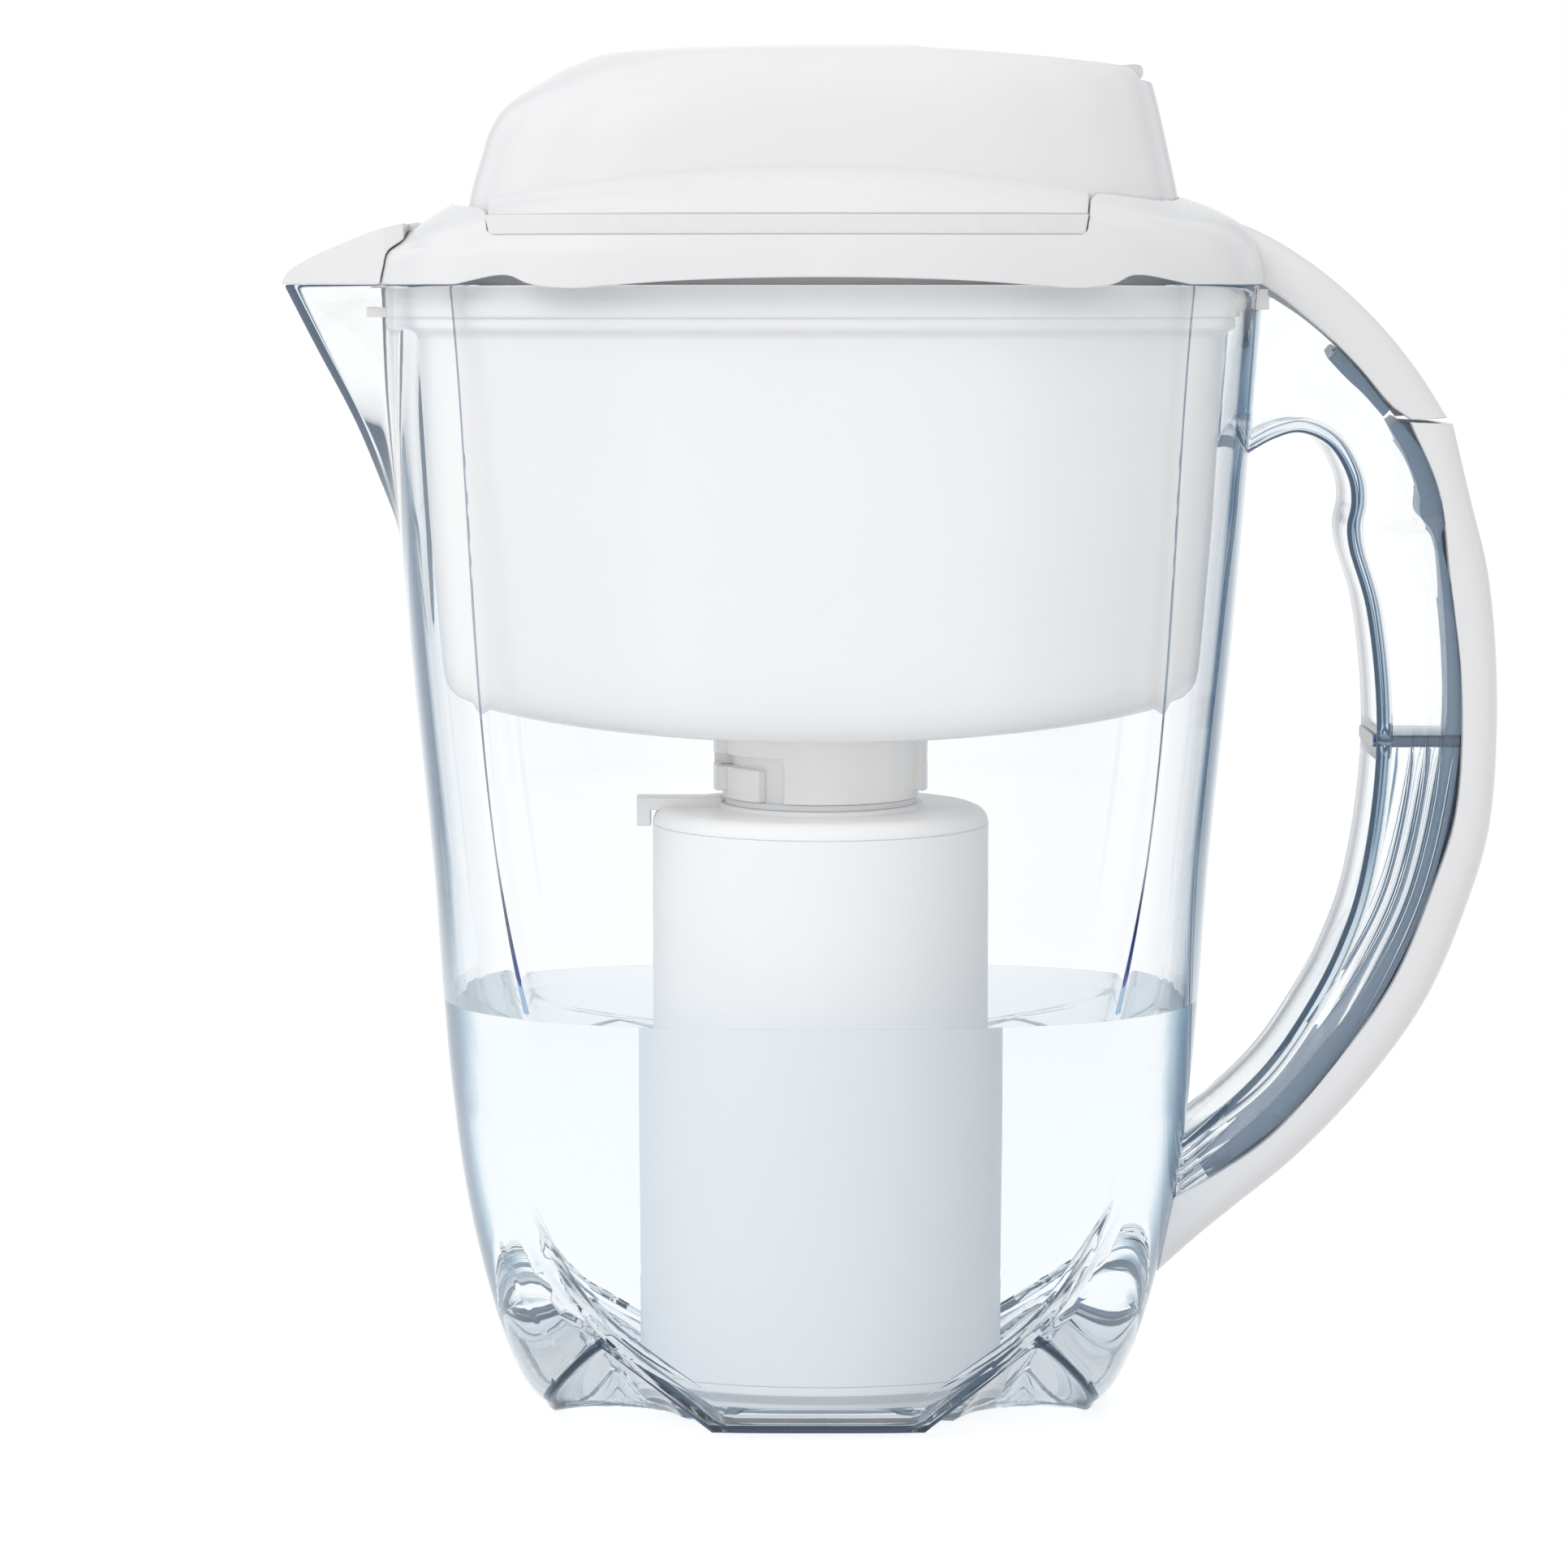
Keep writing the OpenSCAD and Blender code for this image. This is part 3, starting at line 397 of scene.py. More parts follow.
def spout_radius(z, phi, inset):
    """Distance from the middle to the spout's outside at height z along direction phi, 0 away from it."""
    psi = np.abs(np.angle(np.exp(1j * (phi - np.pi))))
    w = smooth(WIDTH_ROWS, z)
    sink = SPOUT_SINK * (1 - np.clip((z - SPOUT_LOW - 1) / SPOUT_SINK_RISE, 0, 1))
    tip = w + SPOUT_OUT * smooth(SPOUT_ROWS, z) - sink - inset
    half = smooth(SPOUT_WIDTHS, z) - 0.9 * inset
    nose = np.minimum(SPOUT_TIP_R, half * SPOUT_TIP_SHARE)
    root = w * SPOUT_ROOT
    # The sides lean in from the wall to the nose, steeply where there is no room, and end behind their root
    run = tip - 1.2 * nose - root
    slope = np.where(run < 0.5, -30.0, (0.95 * nose - half) / run)
    side = (half - slope * root) / np.maximum(np.sin(psi) - slope * np.cos(psi), 1e-3)
    past = psi - np.arctan2(half, root)
    side = np.where(past > 0, np.hypot(root, half) - 40 * past, side)
    ahead = tip / np.maximum(np.cos(psi), 0.2)
    out = blend_min(side, ahead, SPOUT_BLEND)
    return np.where((psi > SPOUT_ANGLE) | (z < SPOUT_LOW), 0, out)


def jug_plan(z, inset, rise):
    """x and y of every column at its height z; inset is a distance, or its rows by height."""
    phi = column_angle(z)
    inset = level(inset, z) if isinstance(inset, list) else inset
    up = rise * COLUMNS[:, 2] * level(PANEL_FADE, z) - inset
    body = superellipse(smooth(WIDTH_ROWS, z) + up, smooth(DEPTH_ROWS, z) + up, level(SQUARE_ROWS, z), phi)
    r = blend_max(body, spout_radius(z, phi, inset), SPOUT_FILLET)
    return r * np.cos(phi), r * np.sin(phi)


def notch_height(x, y):
    """Height of the nearest notch's ceiling over the table."""
    lean = np.array(NOTCH_TIP) - np.array(NOTCH_FOOT)
    qx, qy = np.abs(x) - NOTCH_FOOT[0], np.abs(y) - NOTCH_FOOT[1]
    a = lean @ lean - NOTCH_R ** 2
    b = -2 * (qx * lean[0] + qy * lean[1] - NOTCH_R ** 2)
    c = qx ** 2 + qy ** 2 + NOTCH_ROUND ** 2 - NOTCH_R ** 2
    t = (-b + np.sqrt(np.maximum(b * b - 4 * a * c, 0))) / (2 * a)
    return np.clip(t, -0.3, 1) * NOTCH_TIP_Z


def under_side(x, y):
    return blend_max(np.full_like(x, FOOT), notch_height(x, y), UNDER_FILLET)


# Height of the notches' ceiling inside the jug over the one under it
NOTCH_SKIN = WALL_ROWS[0][1] * math.hypot(NOTCH_TIP_Z, NOTCH_R) / NOTCH_R


def inner_floor(x, y):
    return blend_max(np.full_like(x, FOOT + FLOOR_WALL), notch_height(x, y) + NOTCH_SKIN, FLOOR_FILLET)


EDGE_TOP, EDGE_STEPS = 34, 420


def lower_edge(surface, inset, rise, low):
    """Height at which each column of the wall meets the surface below it."""
    levels = np.linspace(low, EDGE_TOP, EDGE_STEPS)
    n = len(COLUMNS)
    gap = np.array([z - surface(*jug_plan(np.full(n, z), inset, rise)) for z in levels])
    below = gap <= 0
    last = np.where(below.any(0), len(levels) - 1 - below[::-1].argmax(0), 0)
    after = np.minimum(last + 1, len(levels) - 1)
    g0, g1 = gap[last, np.arange(n)], gap[after, np.arange(n)]
    t = np.where(below.any(0), np.clip(-g0 / np.maximum(g1 - g0, 1e-6), 0, 1), 0)
    return levels[last] + t * (levels[after] - levels[last])


def bend(p0, p1, p2, steps):
    """Quadratic curve from p0, towards p1, to p2."""
    return [(1 - u) ** 2 * p0 + 2 * u * (1 - u) * p1 + u * u * p2 for u in np.linspace(0, 1, steps + 1)]


def wall_point(z, inset, rise):
    """Point of every column at its height z."""
    x, y = jug_plan(z, inset, rise)
    return np.stack([x, y, z], -1)


# Steps round the corner from floor to wall, its reach over the floor, and how rings crowd towards both ends
CORNER_STEPS, CORNER_REACH, FLOOR_CROWD, WALL_CROWD = 6, 1.1, 0.8, 1.15
# Steps across the floor and up the wall
OUTER_STEPS, INNER_STEPS, CORE_STEPS, WATER_STEPS = (34, 104), (30, 90), (12, 70), (30, 50)


def skin_half(surface, inset, rise, low, radius, steps, top):
    """Rings from the middle of the surface out to the wall and up to the top."""
    edge_z = lower_edge(surface, inset, rise, low)
    corner = wall_point(edge_z, inset, rise)
    up = wall_point(edge_z + radius, inset, rise)
    share = 1 - radius * CORNER_REACH / np.hypot(corner[:, 0], corner[:, 1])
    inward = corner.copy()
    inward[:, :2] *= share[:, None]
    inward[:, 2] = surface(inward[:, 0], inward[:, 1])
    rings = []
    for f in np.linspace(0, 1, steps[0] + 1)[1:-1] ** FLOOR_CROWD:
        x, y = inward[:, 0] * f, inward[:, 1] * f
        rings.append(np.stack([x, y, surface(x, y)], -1))
    rings += bend(inward, corner, up, CORNER_STEPS)
    for f in np.linspace(0, 1, steps[1] + 1)[1:] ** WALL_CROWD:
        rings.append(wall_point(edge_z + radius + (top - edge_z - radius) * f, inset, rise))
    return rings


def jug_body():
    """One closed skin: under side, outside, rim, inside and floor."""
    rim, middle = np.full(len(COLUMNS), RIM_Z), np.zeros(1)
    outer = skin_half(under_side, 0, PANEL_RISE, FOOT, OUTER_CORNER, OUTER_STEPS, RIM_Z - LIP)
    inner = skin_half(inner_floor, WALL_ROWS, 0, FOOT + FLOOR_WALL, INNER_CORNER, INNER_STEPS, RIM_Z - LIP)
    top_out, top_in = wall_point(rim, 0, PANEL_RISE), wall_point(rim, JUG_WALL, 0)
    inner_lip, outer_lip = top_in + (top_out - top_in) * 0.3, top_out + (top_in - top_out) * 0.3
    lip = bend(outer[-1], top_out, outer_lip, 3)[1:] + bend(inner_lip, top_in, inner[-1], 3)[:-1]
    ends = under_side(middle, middle)[0], inner_floor(middle, middle)[0]
    return domed("jug_clear", outer + lip + inner[::-1], *ends)


def jug_core(inset):
    """The jug's outside as one solid, drawn in by a distance."""
    rings = skin_half(under_side, inset, PANEL_RISE, FOOT, 1.3, CORE_STEPS, RIM_Z + 4)
    return domed("core", rings, rings[0][:, 2].mean(), rings[-1].mean(0)[2])


# -------- handle and its covers

HANDLE_HALF, HANDLE_WALL, COVER_WALL, COVER_GAP, HANDLE_ANGLE = 13.0, 2.4, 2.0, 0.12, 42
RIB_Z, RIB_X, RIB_R, RIB_GAP, WALL_BITE, CURVE_STEPS = 128.4, (105.8, 123.4), 1.2, 0.06, 1.3, 8
# Curves in X and height over the table
FINGER_SIDE = [[62, 47], [71.6, 54.4], [84.6, 66.2], [93.3, 78.1], [99.7, 90], [104.1, 102.7], [107.4, 129.6],
               [105.2, 155], [101.6, 166.9], [101.2, 170.9], [102, 175.3], [101.4, 180], [97.5, 186.3],
               [91.7, 188.8], [86.5, 187.6], [80, 184]]
BACK_SIDE = [[60, 36], [68.6, 41.7], [91, 58], [103, 72], [112, 87], [118.4, 102.8], [123.3, 129.5],
             [122.4, 155], [119.4, 169], [120.3, 172.5], [118.6, 177.8], [115.5, 185.5], [109.5, 193],
             [101, 203], [92.5, 210.3], [83, 216.3]]
COVER_OUTER = [[121.9, 190.4], [125.3, 176.4], [129, 161.3], [130.9, 139], [129.7, 113.3], [125.7, 98.7],
               [117.6, 79.4], [105.4, 62.3], [91.7, 48.6], [80.3, 39.6], [73, 33.6], [63.4, 25]]
COVER_INNER = [[113.2, 190.8], [118.8, 177.6], [121, 161.5], [123.5, 139], [122.6, 116], [118.3, 101.6],
               [110.8, 83.4], [99, 67], [86.4, 53.4], [75, 45.6], [66, 40.5], [60, 35]]
CAP_OUTER = [[70, 230.5], [80, 228.6], [93.3, 221.6], [106, 211.3], [114.7, 201], [120.8, 191.6]]
CAP_INNER = [[66, 218.5], [82, 217.6], [93.6, 210.1], [103.1, 201.4], [109.6, 194], [113.3, 191.3]]
NARROWED, NARROW_FROM, NARROW_OVER = 1.1, 82, 24


def up_to_one(x):
    return min(max(x, 0), 1)


def narrowed(points):
    """The curve, drawn in far out, because the handle's near edges show further out in the photograph."""
    return [[x - NARROWED * up_to_one((x - NARROW_FROM) / NARROW_OVER), z] for x, z in points]


def curve_through(points, steps):
    """Smooth curve through the points, with that many steps between neighbours."""
    p = np.array(points, float)
    ends = np.vstack([2 * p[0] - p[1], p, 2 * p[-1] - p[-2]])
    out = []
    for k in range(1, len(ends) - 2):
        a, b, c, d = ends[k - 1], ends[k], ends[k + 1], ends[k + 2]
        ta, tb, tc = [max(np.linalg.norm(q - r), 1e-6) ** 0.5 for q, r in ((b, a), (c, b), (d, c))]
        m0 = (c - b) + tb * ((b - a) / ta - (c - a) / (ta + tb))
        m1 = (c - b) + tb * ((d - c) / tc - (d - b) / (tb + tc))
        for u in np.arange(steps) / steps:
            out.append((2 * u ** 3 - 3 * u ** 2 + 1) * b + (u ** 3 - 2 * u ** 2 + u) * m0
                       + (3 * u ** 2 - 2 * u ** 3) * c + (u ** 3 - u ** 2) * m1)
    return np.array(out + [p[-1]])


# Beads along the clear handle's side walls, under its rib: places from the open edge, and size
BEADS, BEAD_HALF, BEAD_RISE = (2.3, 5.1, 7.9), 1.3, 1.25


def beads(length, inner, strength):
    """Inner face of a side wall from its foot to the open edge."""
    turn = np.linspace(math.pi, 0, 9)
    return [[length - q + BEAD_HALF * math.cos(t), -inner + BEAD_RISE * strength * math.sin(t)]
            for q in BEADS[::-1] for t in turn]


# Rounding of open edges, least length of the sides and least corner inside; where the beads fade out
CHANNEL_TIP, SIDE_LEAST, CORNER_LEAST = 0.35, 0.8, 0.2
BEADS_BELOW, BEADS_FADE, DEEP_FROM, DEEP_FADE = RIB_Z - 1, 3, 11, 2


def flipped(points):
    """The points on the other side of the part, in reverse."""
    return [[p, -y] for p, y in points[::-1]]


def channel(web, open_edge, half, wall, r_out, r_in, beaded=False):
    """Rings of a channel between two curves: its web on the first, its open side on the second."""
    rings = []
    arc = np.linspace(0, math.pi / 2, 8)
    inner, tip = half - wall, CHANNEL_TIP
    for w, o in zip(web, open_edge):
        w, o = np.asarray(w), np.asarray(o)
        length = np.linalg.norm(o - w)
        u = (o - w) / length
        ro = min(r_out, length * 0.7)
        floor = min(wall, length - SIDE_LEAST)
        ri = max(min(r_in, length - floor - 0.3), CORNER_LEAST)
        side = [[length, -inner - tip], [length - tip * 0.3, -half + tip * 0.3], [length - tip, -half]]
        side += [[ro - ro * math.sin(a), -half + ro - ro * math.cos(a)] for a in arc]
        inside = [[floor + ri - ri * math.cos(a), -inner + ri - ri * math.sin(a)] for a in arc]
        if beaded:
            below = up_to_one((BEADS_BELOW - (w[1] + o[1]) / 2) / BEADS_FADE)
            deep = up_to_one((length - DEEP_FROM) / DEEP_FADE)
            inside += beads(length, inner, 0.01 + 0.99 * (below * deep))
        inside += [[length - tip, -inner], [length - tip * 0.3, -inner - tip * 0.3]]
        section = side + flipped(side) + flipped(inside) + inside
        rings.append([[w[0] + u[0] * p, y, w[1] + u[1] * p] for p, y in section])
    return rings


def rounded_rib(low, high, half, z, r):
    """Rings of a rib along X between low and high, its two sides rounded, its under side at z."""
    turn = np.linspace(-math.pi / 2, math.pi / 2, 13)
    side = [[z + r + r * math.sin(t), half - r + r * math.cos(t)] for t in turn]
    return [[[x, y, h] for h, y in side + flipped(side)] for x in (low, high)]


# Reach of the painted shade, a deeper blue, from the base's edge and the front creases, and where it ends and
# starts
EDGE_REACH, EDGE_BELOW = 1.6, 26
CREASE_COLUMN, CREASE_FROM, CREASE_STEP, CREASE_REACH, FRONT_Y = PANEL_EDGE[1], 80.5, 0.5, 1.0, -25


def near(points, centres, choice, reach):
    """The chosen centres that have one of the points within reach."""
    return [k for k in np.flatnonzero(choice) if (((points - centres[k]) ** 2).sum(1) < reach ** 2).any()]


def paint_edge_shade(o):
    """Paints shade on the base's sharp edge, the handle's rib and the front creases, as a deeper blue."""
    o.data.materials.append(EDGE_SHADE)
    o.data.materials.append(CREASE_SHADE)
    centres = np.empty(len(o.data.polygons) * 3)
    o.data.polygons.foreach_get("center", centres)
    centres = centres.reshape(-1, 3) / MM
    x, y, z = (centres - [AXIS_X, 0, 0]).T
    slots = np.zeros(len(centres), int)
    foot = wall_point(lower_edge(under_side, 0, PANEL_RISE, FOOT), 0, PANEL_RISE) + [AXIS_X, 0, 0]
    foot = np.concatenate([foot + (np.roll(foot, -1, 0) - foot) * t for t in (0, 0.5)])
    slots[near(foot, centres, z < EDGE_BELOW, EDGE_REACH)] = 1
    on_rib = (x > RIB_X[0] - 0.8) & (z > RIB_Z - 0.1) & (z < RIB_Z + 2 * RIB_R + 0.1)
    slots[on_rib & (np.abs(y) < HANDLE_HALF - HANDLE_WALL)] = 1
    ends = np.flatnonzero((COLUMNS[:, 0] == 3) & (np.abs(COLUMNS[:, 1] - 0.5) == 0.5 - CREASE_COLUMN))
    creases = [wall_point(np.full(len(COLUMNS), h), 0, PANEL_RISE)[ends]
               for h in np.arange(CREASE_FROM, RIM_Z, CREASE_STEP)]
    creases = np.concatenate(creases) + [AXIS_X, 0, 0]
    slots[near(creases, centres, (z > CREASE_FROM) & (y < FRONT_Y), CREASE_REACH)] = 2
    o.data.polygons.foreach_set("material_index", slots)


def make_jug():
    finger, back = (curve_through(narrowed(side), CURVE_STEPS) for side in (FINGER_SIDE, BACK_SIDE))
    handle = capped("grip", channel(finger, back, HANDLE_HALF, HANDLE_WALL, 1.3, 1.0, beaded=True))
    rib = capped("rib", rounded_rib(*RIB_X, HANDLE_HALF - HANDLE_WALL - RIB_GAP, RIB_Z, RIB_R))
    body = join(jug_body(), cut(join(handle, rib), jug_core(WALL_BITE)))
    finish_mesh(body, "jug", CLEAR, HANDLE_ANGLE)
    paint_edge_shade(body)
    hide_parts("jug", "handle_grip")


def make_cover(name, outer, inner, body, cad):
    """White cover over the channel, cut where it meets the jug."""
    outer, inner = (curve_through(narrowed(side), CURVE_STEPS) for side in (outer, inner))
    shell = cut(capped(name, channel(outer, inner, HANDLE_HALF, COVER_WALL, 4.5, 2.5)), jug_core(-COVER_GAP))
    finish_mesh(shell, body, WHITE, HANDLE_ANGLE)
    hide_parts(cad)


# Tongues of the two covers inside the channel, by their inner edges; their dark blue-grey is painted shade of
# the white covers' insides seen through the clear walls
TONGUE_HALF, TONGUE_WALL, TONGUE_STEPS, TONGUE_GAP, FINE_STEPS = 9.2, 1.4, 6, 0.3, 40
TONGUE_LOW = [[109.4, 189.6], [112.6, 184], [115.2, 177], [115.6, 172.6], [117.6, 170], [119.4, 161],
              [120.9, 139], [120.5, 130], [119.3, 118], [115, 103.5], [107.8, 86], [96.2, 69.8], [83.8, 56.6],
              [72.6, 48.6]]
TONGUE_CAP = [[97.2, 202.6], [100.8, 199], [104.6, 195.6], [108.2, 191.6]]


def beside(inner, outer):
    """The places on the outer curve nearest to every place on the inner one."""
    path = curve_through(outer, FINE_STEPS)
    return np.array([path[np.argmin(np.hypot(*(path - p).T))] for p in curve_through(inner, TONGUE_STEPS)])


def make_tongue(name, inner, cover, body):
    """What plugs a cover into the channel, between its own inner edge and the cover's; its dark blue-grey is
    painted shade.
    """
    edges = narrowed(curve_through(inner, TONGUE_STEPS)), narrowed(beside(inner, cover))
    o = cut(capped(name, channel(*edges, TONGUE_HALF, TONGUE_WALL, 0.8, 0.5)), jug_core(TONGUE_GAP))
    finish_mesh(o, body, SHADED_INSIDE, HANDLE_ANGLE)


make_jug()
make_cover("cover_lower", COVER_OUTER, COVER_INNER, "jug", "handle_cover")
make_cover("cover_upper", CAP_OUTER, CAP_INNER, "lid", "handle_cap")
make_tongue("tongue_lower", TONGUE_LOW, COVER_INNER, "jug")
make_tongue("tongue_upper", TONGUE_CAP, CAP_INNER, "lid")

# -------- water

# The water overlaps the jug's walls and floor, so that no air shows between them
WATER_LEVEL, WATER_LAP = 80.0, 0.3


def water_floor(x, y):
    return inner_floor(x, y) - WATER_LAP


def make_water():
    wall, floor = [[z, t - WATER_LAP] for z, t in WALL_ROWS], FOOT + FLOOR_WALL - WATER_LAP
    rings = skin_half(water_floor, wall, 0, floor, INNER_CORNER + WATER_LAP, WATER_STEPS, WATER_LEVEL)
    o = domed("filtered_water", rings, floor, WATER_LEVEL)
    finish_mesh(o, "jug", WATER, 40)


make_water()

# -------- shapes by height over the rim


def oval(left, right, half, n_left, n_right, steps):
    """Points of a rounded oval; each end has its own squareness."""
    angle = np.linspace(0, 2 * np.pi, steps, endpoint=False)
    c, s = np.cos(angle), np.sin(angle)
    power = 2 / np.where(c > 0, n_right, n_left)
    x = (left + right) / 2 + (right - left) / 2 * np.sign(c) * np.abs(c) ** power
    return x, half * np.sign(s) * np.abs(s) ** power


def prism(name, outline, low, high):
    """Solid across the part between two depths, from its outline in X and Z."""
    return capped(name, [[[x, y, z] for x, z in outline] for y in (low, high)], RIM_Z)


def upright(name, outline, low, high):
    """Upright solid between two heights, from its outline in X and Y."""
    return capped(name, [[[x, y, z] for x, y in outline] for z in (low, high)], RIM_Z)


def box_outline(left, right, low, high):
    return [[left, low], [right, low], [right, high], [left, high]]


ROD_STEPS = 48


def rod(name, x, z, radius, half_length):
    """Round bar across the part."""
    outline = np.stack(oval(-radius, radius, radius, 2, 2, ROD_STEPS), -1) + [x, z]
    return prism(name, outline, -half_length, half_length)


def levels_between(rows, steps):
    """Heights spread evenly along the profile of the rows [height, side]."""
    fine = np.linspace(rows[0][0], rows[-1][0], 2000)
    along = np.concatenate([[0], np.cumsum(np.hypot(np.diff(fine), np.diff(smooth(rows, fine))))])
    return np.interp(np.linspace(0, along[-1], steps), along, fine)


def columns_at(rows, z):
    """The rows' other columns at height z, which is their fourth column."""
    return [float(smooth([[r[3], r[k]] for r in rows], z)) for k in range(len(rows[0])) if k != 3]


# -------- reservoir

# Half width, half depth, height over the rim and share of the bottom's dish
TANK_ROWS = [[80.2, 46.9, -0.6, 0], [80.2, 46.9, -5.7, 0], [80, 46.7, -6.05, 0], [79.5, 46.25, -6.2, 0],
             [79.4, 46.2, -6.5, 0], [79.4, 46.2, -7.9, 0], [79.2, 46, -8.3, 0], [78, 44.9, -9.2, 0],
             [77.7, 44.65, -9.6, 0], [77.5, 44.5, -10.2, 0], [76.4, 43.6, -28, 0], [75.4, 42.85, -45, 0],
             [74.2, 42, -60, 0], [73.3, 41.3, -71, 0.02], [73, 41, -73.6, 0.1], [72.5, 40.5, -75.8, 0.3],
             [71.6, 39.7, -77.5, 0.55], [70.3, 38.5, -78.7, 0.8], [68.9, 37.2, -79.3, 0.93],
             [67.2, 35.6, -79.6, 1]]
TANK_DISH, TANK_DISH_HALF, TANK_WALL, TANK_OVAL = 5.4, 67.0, 2.0, (2.6, 2.6, 240)
DISH_STEPS, SEAT_R = 14, 19.05
# Tongue towards the spout and hook towards the handle
TONGUE_PLAN, TONGUE_HEIGHTS = (-86.5, -78.9, -5, 5), (-6.1, -4.2)
HOOK_PLAN, HOOK_HEIGHTS = (79, 85.1, -11, 11), (-4.9, -0.8)


def tank_ring(w, d, z, dish, inset=0.0):
    """Ring of the reservoir's side; the middle of its long sides hangs lower by a share of the dish."""
    x, y = oval(-w + inset, w - inset, d - inset, *TANK_OVAL)
    return np.stack([x, y, z - dish * TANK_DISH * np.maximum(0, 1 - (x / TANK_DISH_HALF) ** 2)], -1)


def dish_rings(start, end_z):
    """Rings from a tank ring in to the socket's seat."""
    seat = np.stack([*oval(-SEAT_R, SEAT_R, SEAT_R, 2, 2, len(start)), np.full(len(start), end_z)], -1)
    out = []
    for f in np.linspace(0, 1, DISH_STEPS + 1)[1:]:
        p = start + (seat - start) * f
        p[:, 2] = end_z + TANK_DISH * np.minimum(1, (p[:, 0] / TANK_DISH_HALF) ** 2)
        out.append(p)
    return out


def make_reservoir():
    fine = [r for pair in zip(TANK_ROWS[:-1], TANK_ROWS[1:])
            for r in np.linspace(pair[0], pair[1], 5 if abs(pair[0][2] - pair[1][2]) > 5 else 3)[:-1]]
    outside = [tank_ring(*r) for r in fine + [TANK_ROWS[-1]]]
    bottom = TANK_ROWS[-1][2] - TANK_DISH
    outside += dish_rings(outside[-1], bottom)
    inner = [[w, d, max(z + TANK_WALL * dish, z), dish] for w, d, z, dish in TANK_ROWS if z < -10 or z > -6]
    inside = [tank_ring(w, d, z, dish, TANK_WALL) for w, d, z, dish in inner]
    inside += dish_rings(inside[-1], bottom + TANK_WALL)
    rings = np.array(outside + inside[::-1])
    o = solid("reservoir_white", rings, sheet_faces(*rings.shape[:2], True), RIM_Z)
    join(o, upright("tongue", box_outline(*TONGUE_PLAN), *TONGUE_HEIGHTS),
         upright("hook", box_outline(*HOOK_PLAN), *HOOK_HEIGHTS))
    finish_mesh(o, "reservoir", TANK, 40)
    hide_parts("reservoir")


make_reservoir()

# -------- lid

# Left end, right end, half depth, height over the rim, and arch along front and back
CROWN_ROWS = [[-85.2, 85.2, 53, 0.05, 0], [-84.7, 85, 52.8, 3, 0], [-83.8, 84.1, 52.4, 6.2, 0.6],
              [-81.7, 83.5, 51.9, 7.7, 1.6], [-78.6, 81.7, 50.9, 10.2, 3], [-75.5, 79.2, 48.4, 12.4, 4.4],
              [-67.4, 69.2, 39.5, 16.6, 5.7], [-58, 60, 31, 18.6, 6]]
CROWN_ARCH_HALF, LID_WALL, LID_GAP, LID_ANGLE = 66.0, 2.2, 0.25, 38
# Squareness towards the spout and towards the handle, and steps
CROWN_OVAL, DOME_OVAL = (2.5, 2.5, 260), (2.5, 3.6, 260)
RECESS_CORNER, SHOULDER_R, SHOULDER_TOPS = 1.2, 2.5, (14.4, 16.8)
RECESS_L, RECESS_R, RECESS_Z, LEAN_L, LEAN_R = -61.7, 48.2, 9.1, 0.2, 0.17
LINER_TOP = RECESS_Z + 0.05 + 3.7
DOME_ROWS = [[-68, 68.4, 39.2, 11.8], [-67.3, 67.9, 38.7, 16.8], [-65.1, 66.3, 37.6, 24.5],
             [-63.1, 65, 36.7, 30.3], [-59.8, 64, 35.7, 34.6], [-53.1, 62.8, 33.8, 38.8],
             [-46.4, 61, 31.2, 42.2], [-37.1, 57, 26.8, 44.3], [-20.9, 45, 14, 45.1], [-6, 12, 3, 45.3]]
FLAP_SLOPE, FLAP_FRONT, FLAP_FRONT_Z = math.radians(5.5), 18.6, 44.6
FLAP_HALF, FLAP_T, FLAP_END, FLAP_GAP, PIVOT_DROP = 21.0, 2.0, 60.6, 0.3, 2.1
PIVOT_BACK = 2.9
PIVOT_UNDER = PIVOT_BACK * math.tan(FLAP_SLOPE) + PIVOT_DROP / math.cos(FLAP_SLOPE)
FLAP_PIVOT = np.array([FLAP_FRONT + PIVOT_BACK, FLAP_FRONT_Z - PIVOT_UNDER])
FLAP_LEN = FLAP_END - FLAP_PIVOT[0]
SPOUT_PIVOT = (-77.2, 10.1)


def ring_at(ring, z):
    return ring * [1, 1, 0] + [0, 0, z]


def crown(inset, drop, bottom=None):
    """The ring's outside as a solid, drawn in and lowered, its foot at the bottom where that is given."""
    low, knee, high = (CROWN_ROWS[k][3] for k in (0, 2, -1))
    rings = []
    for z in np.concatenate([np.linspace(low, knee, 8)[:-1], np.linspace(knee, high, 26)]):
        left, right, half, arch = columns_at(CROWN_ROWS, z)
        x, y = oval(left + inset, right - inset, half - inset, *CROWN_OVAL)
        up = arch * np.maximum(0, 1 - (x / CROWN_ARCH_HALF) ** 2)
        rings.append(np.stack([x, y, z - drop + up], -1))
    return capped("crown", rings if bottom is None else [ring_at(rings[0], bottom)] + rings, RIM_Z)


ABOVE = 32


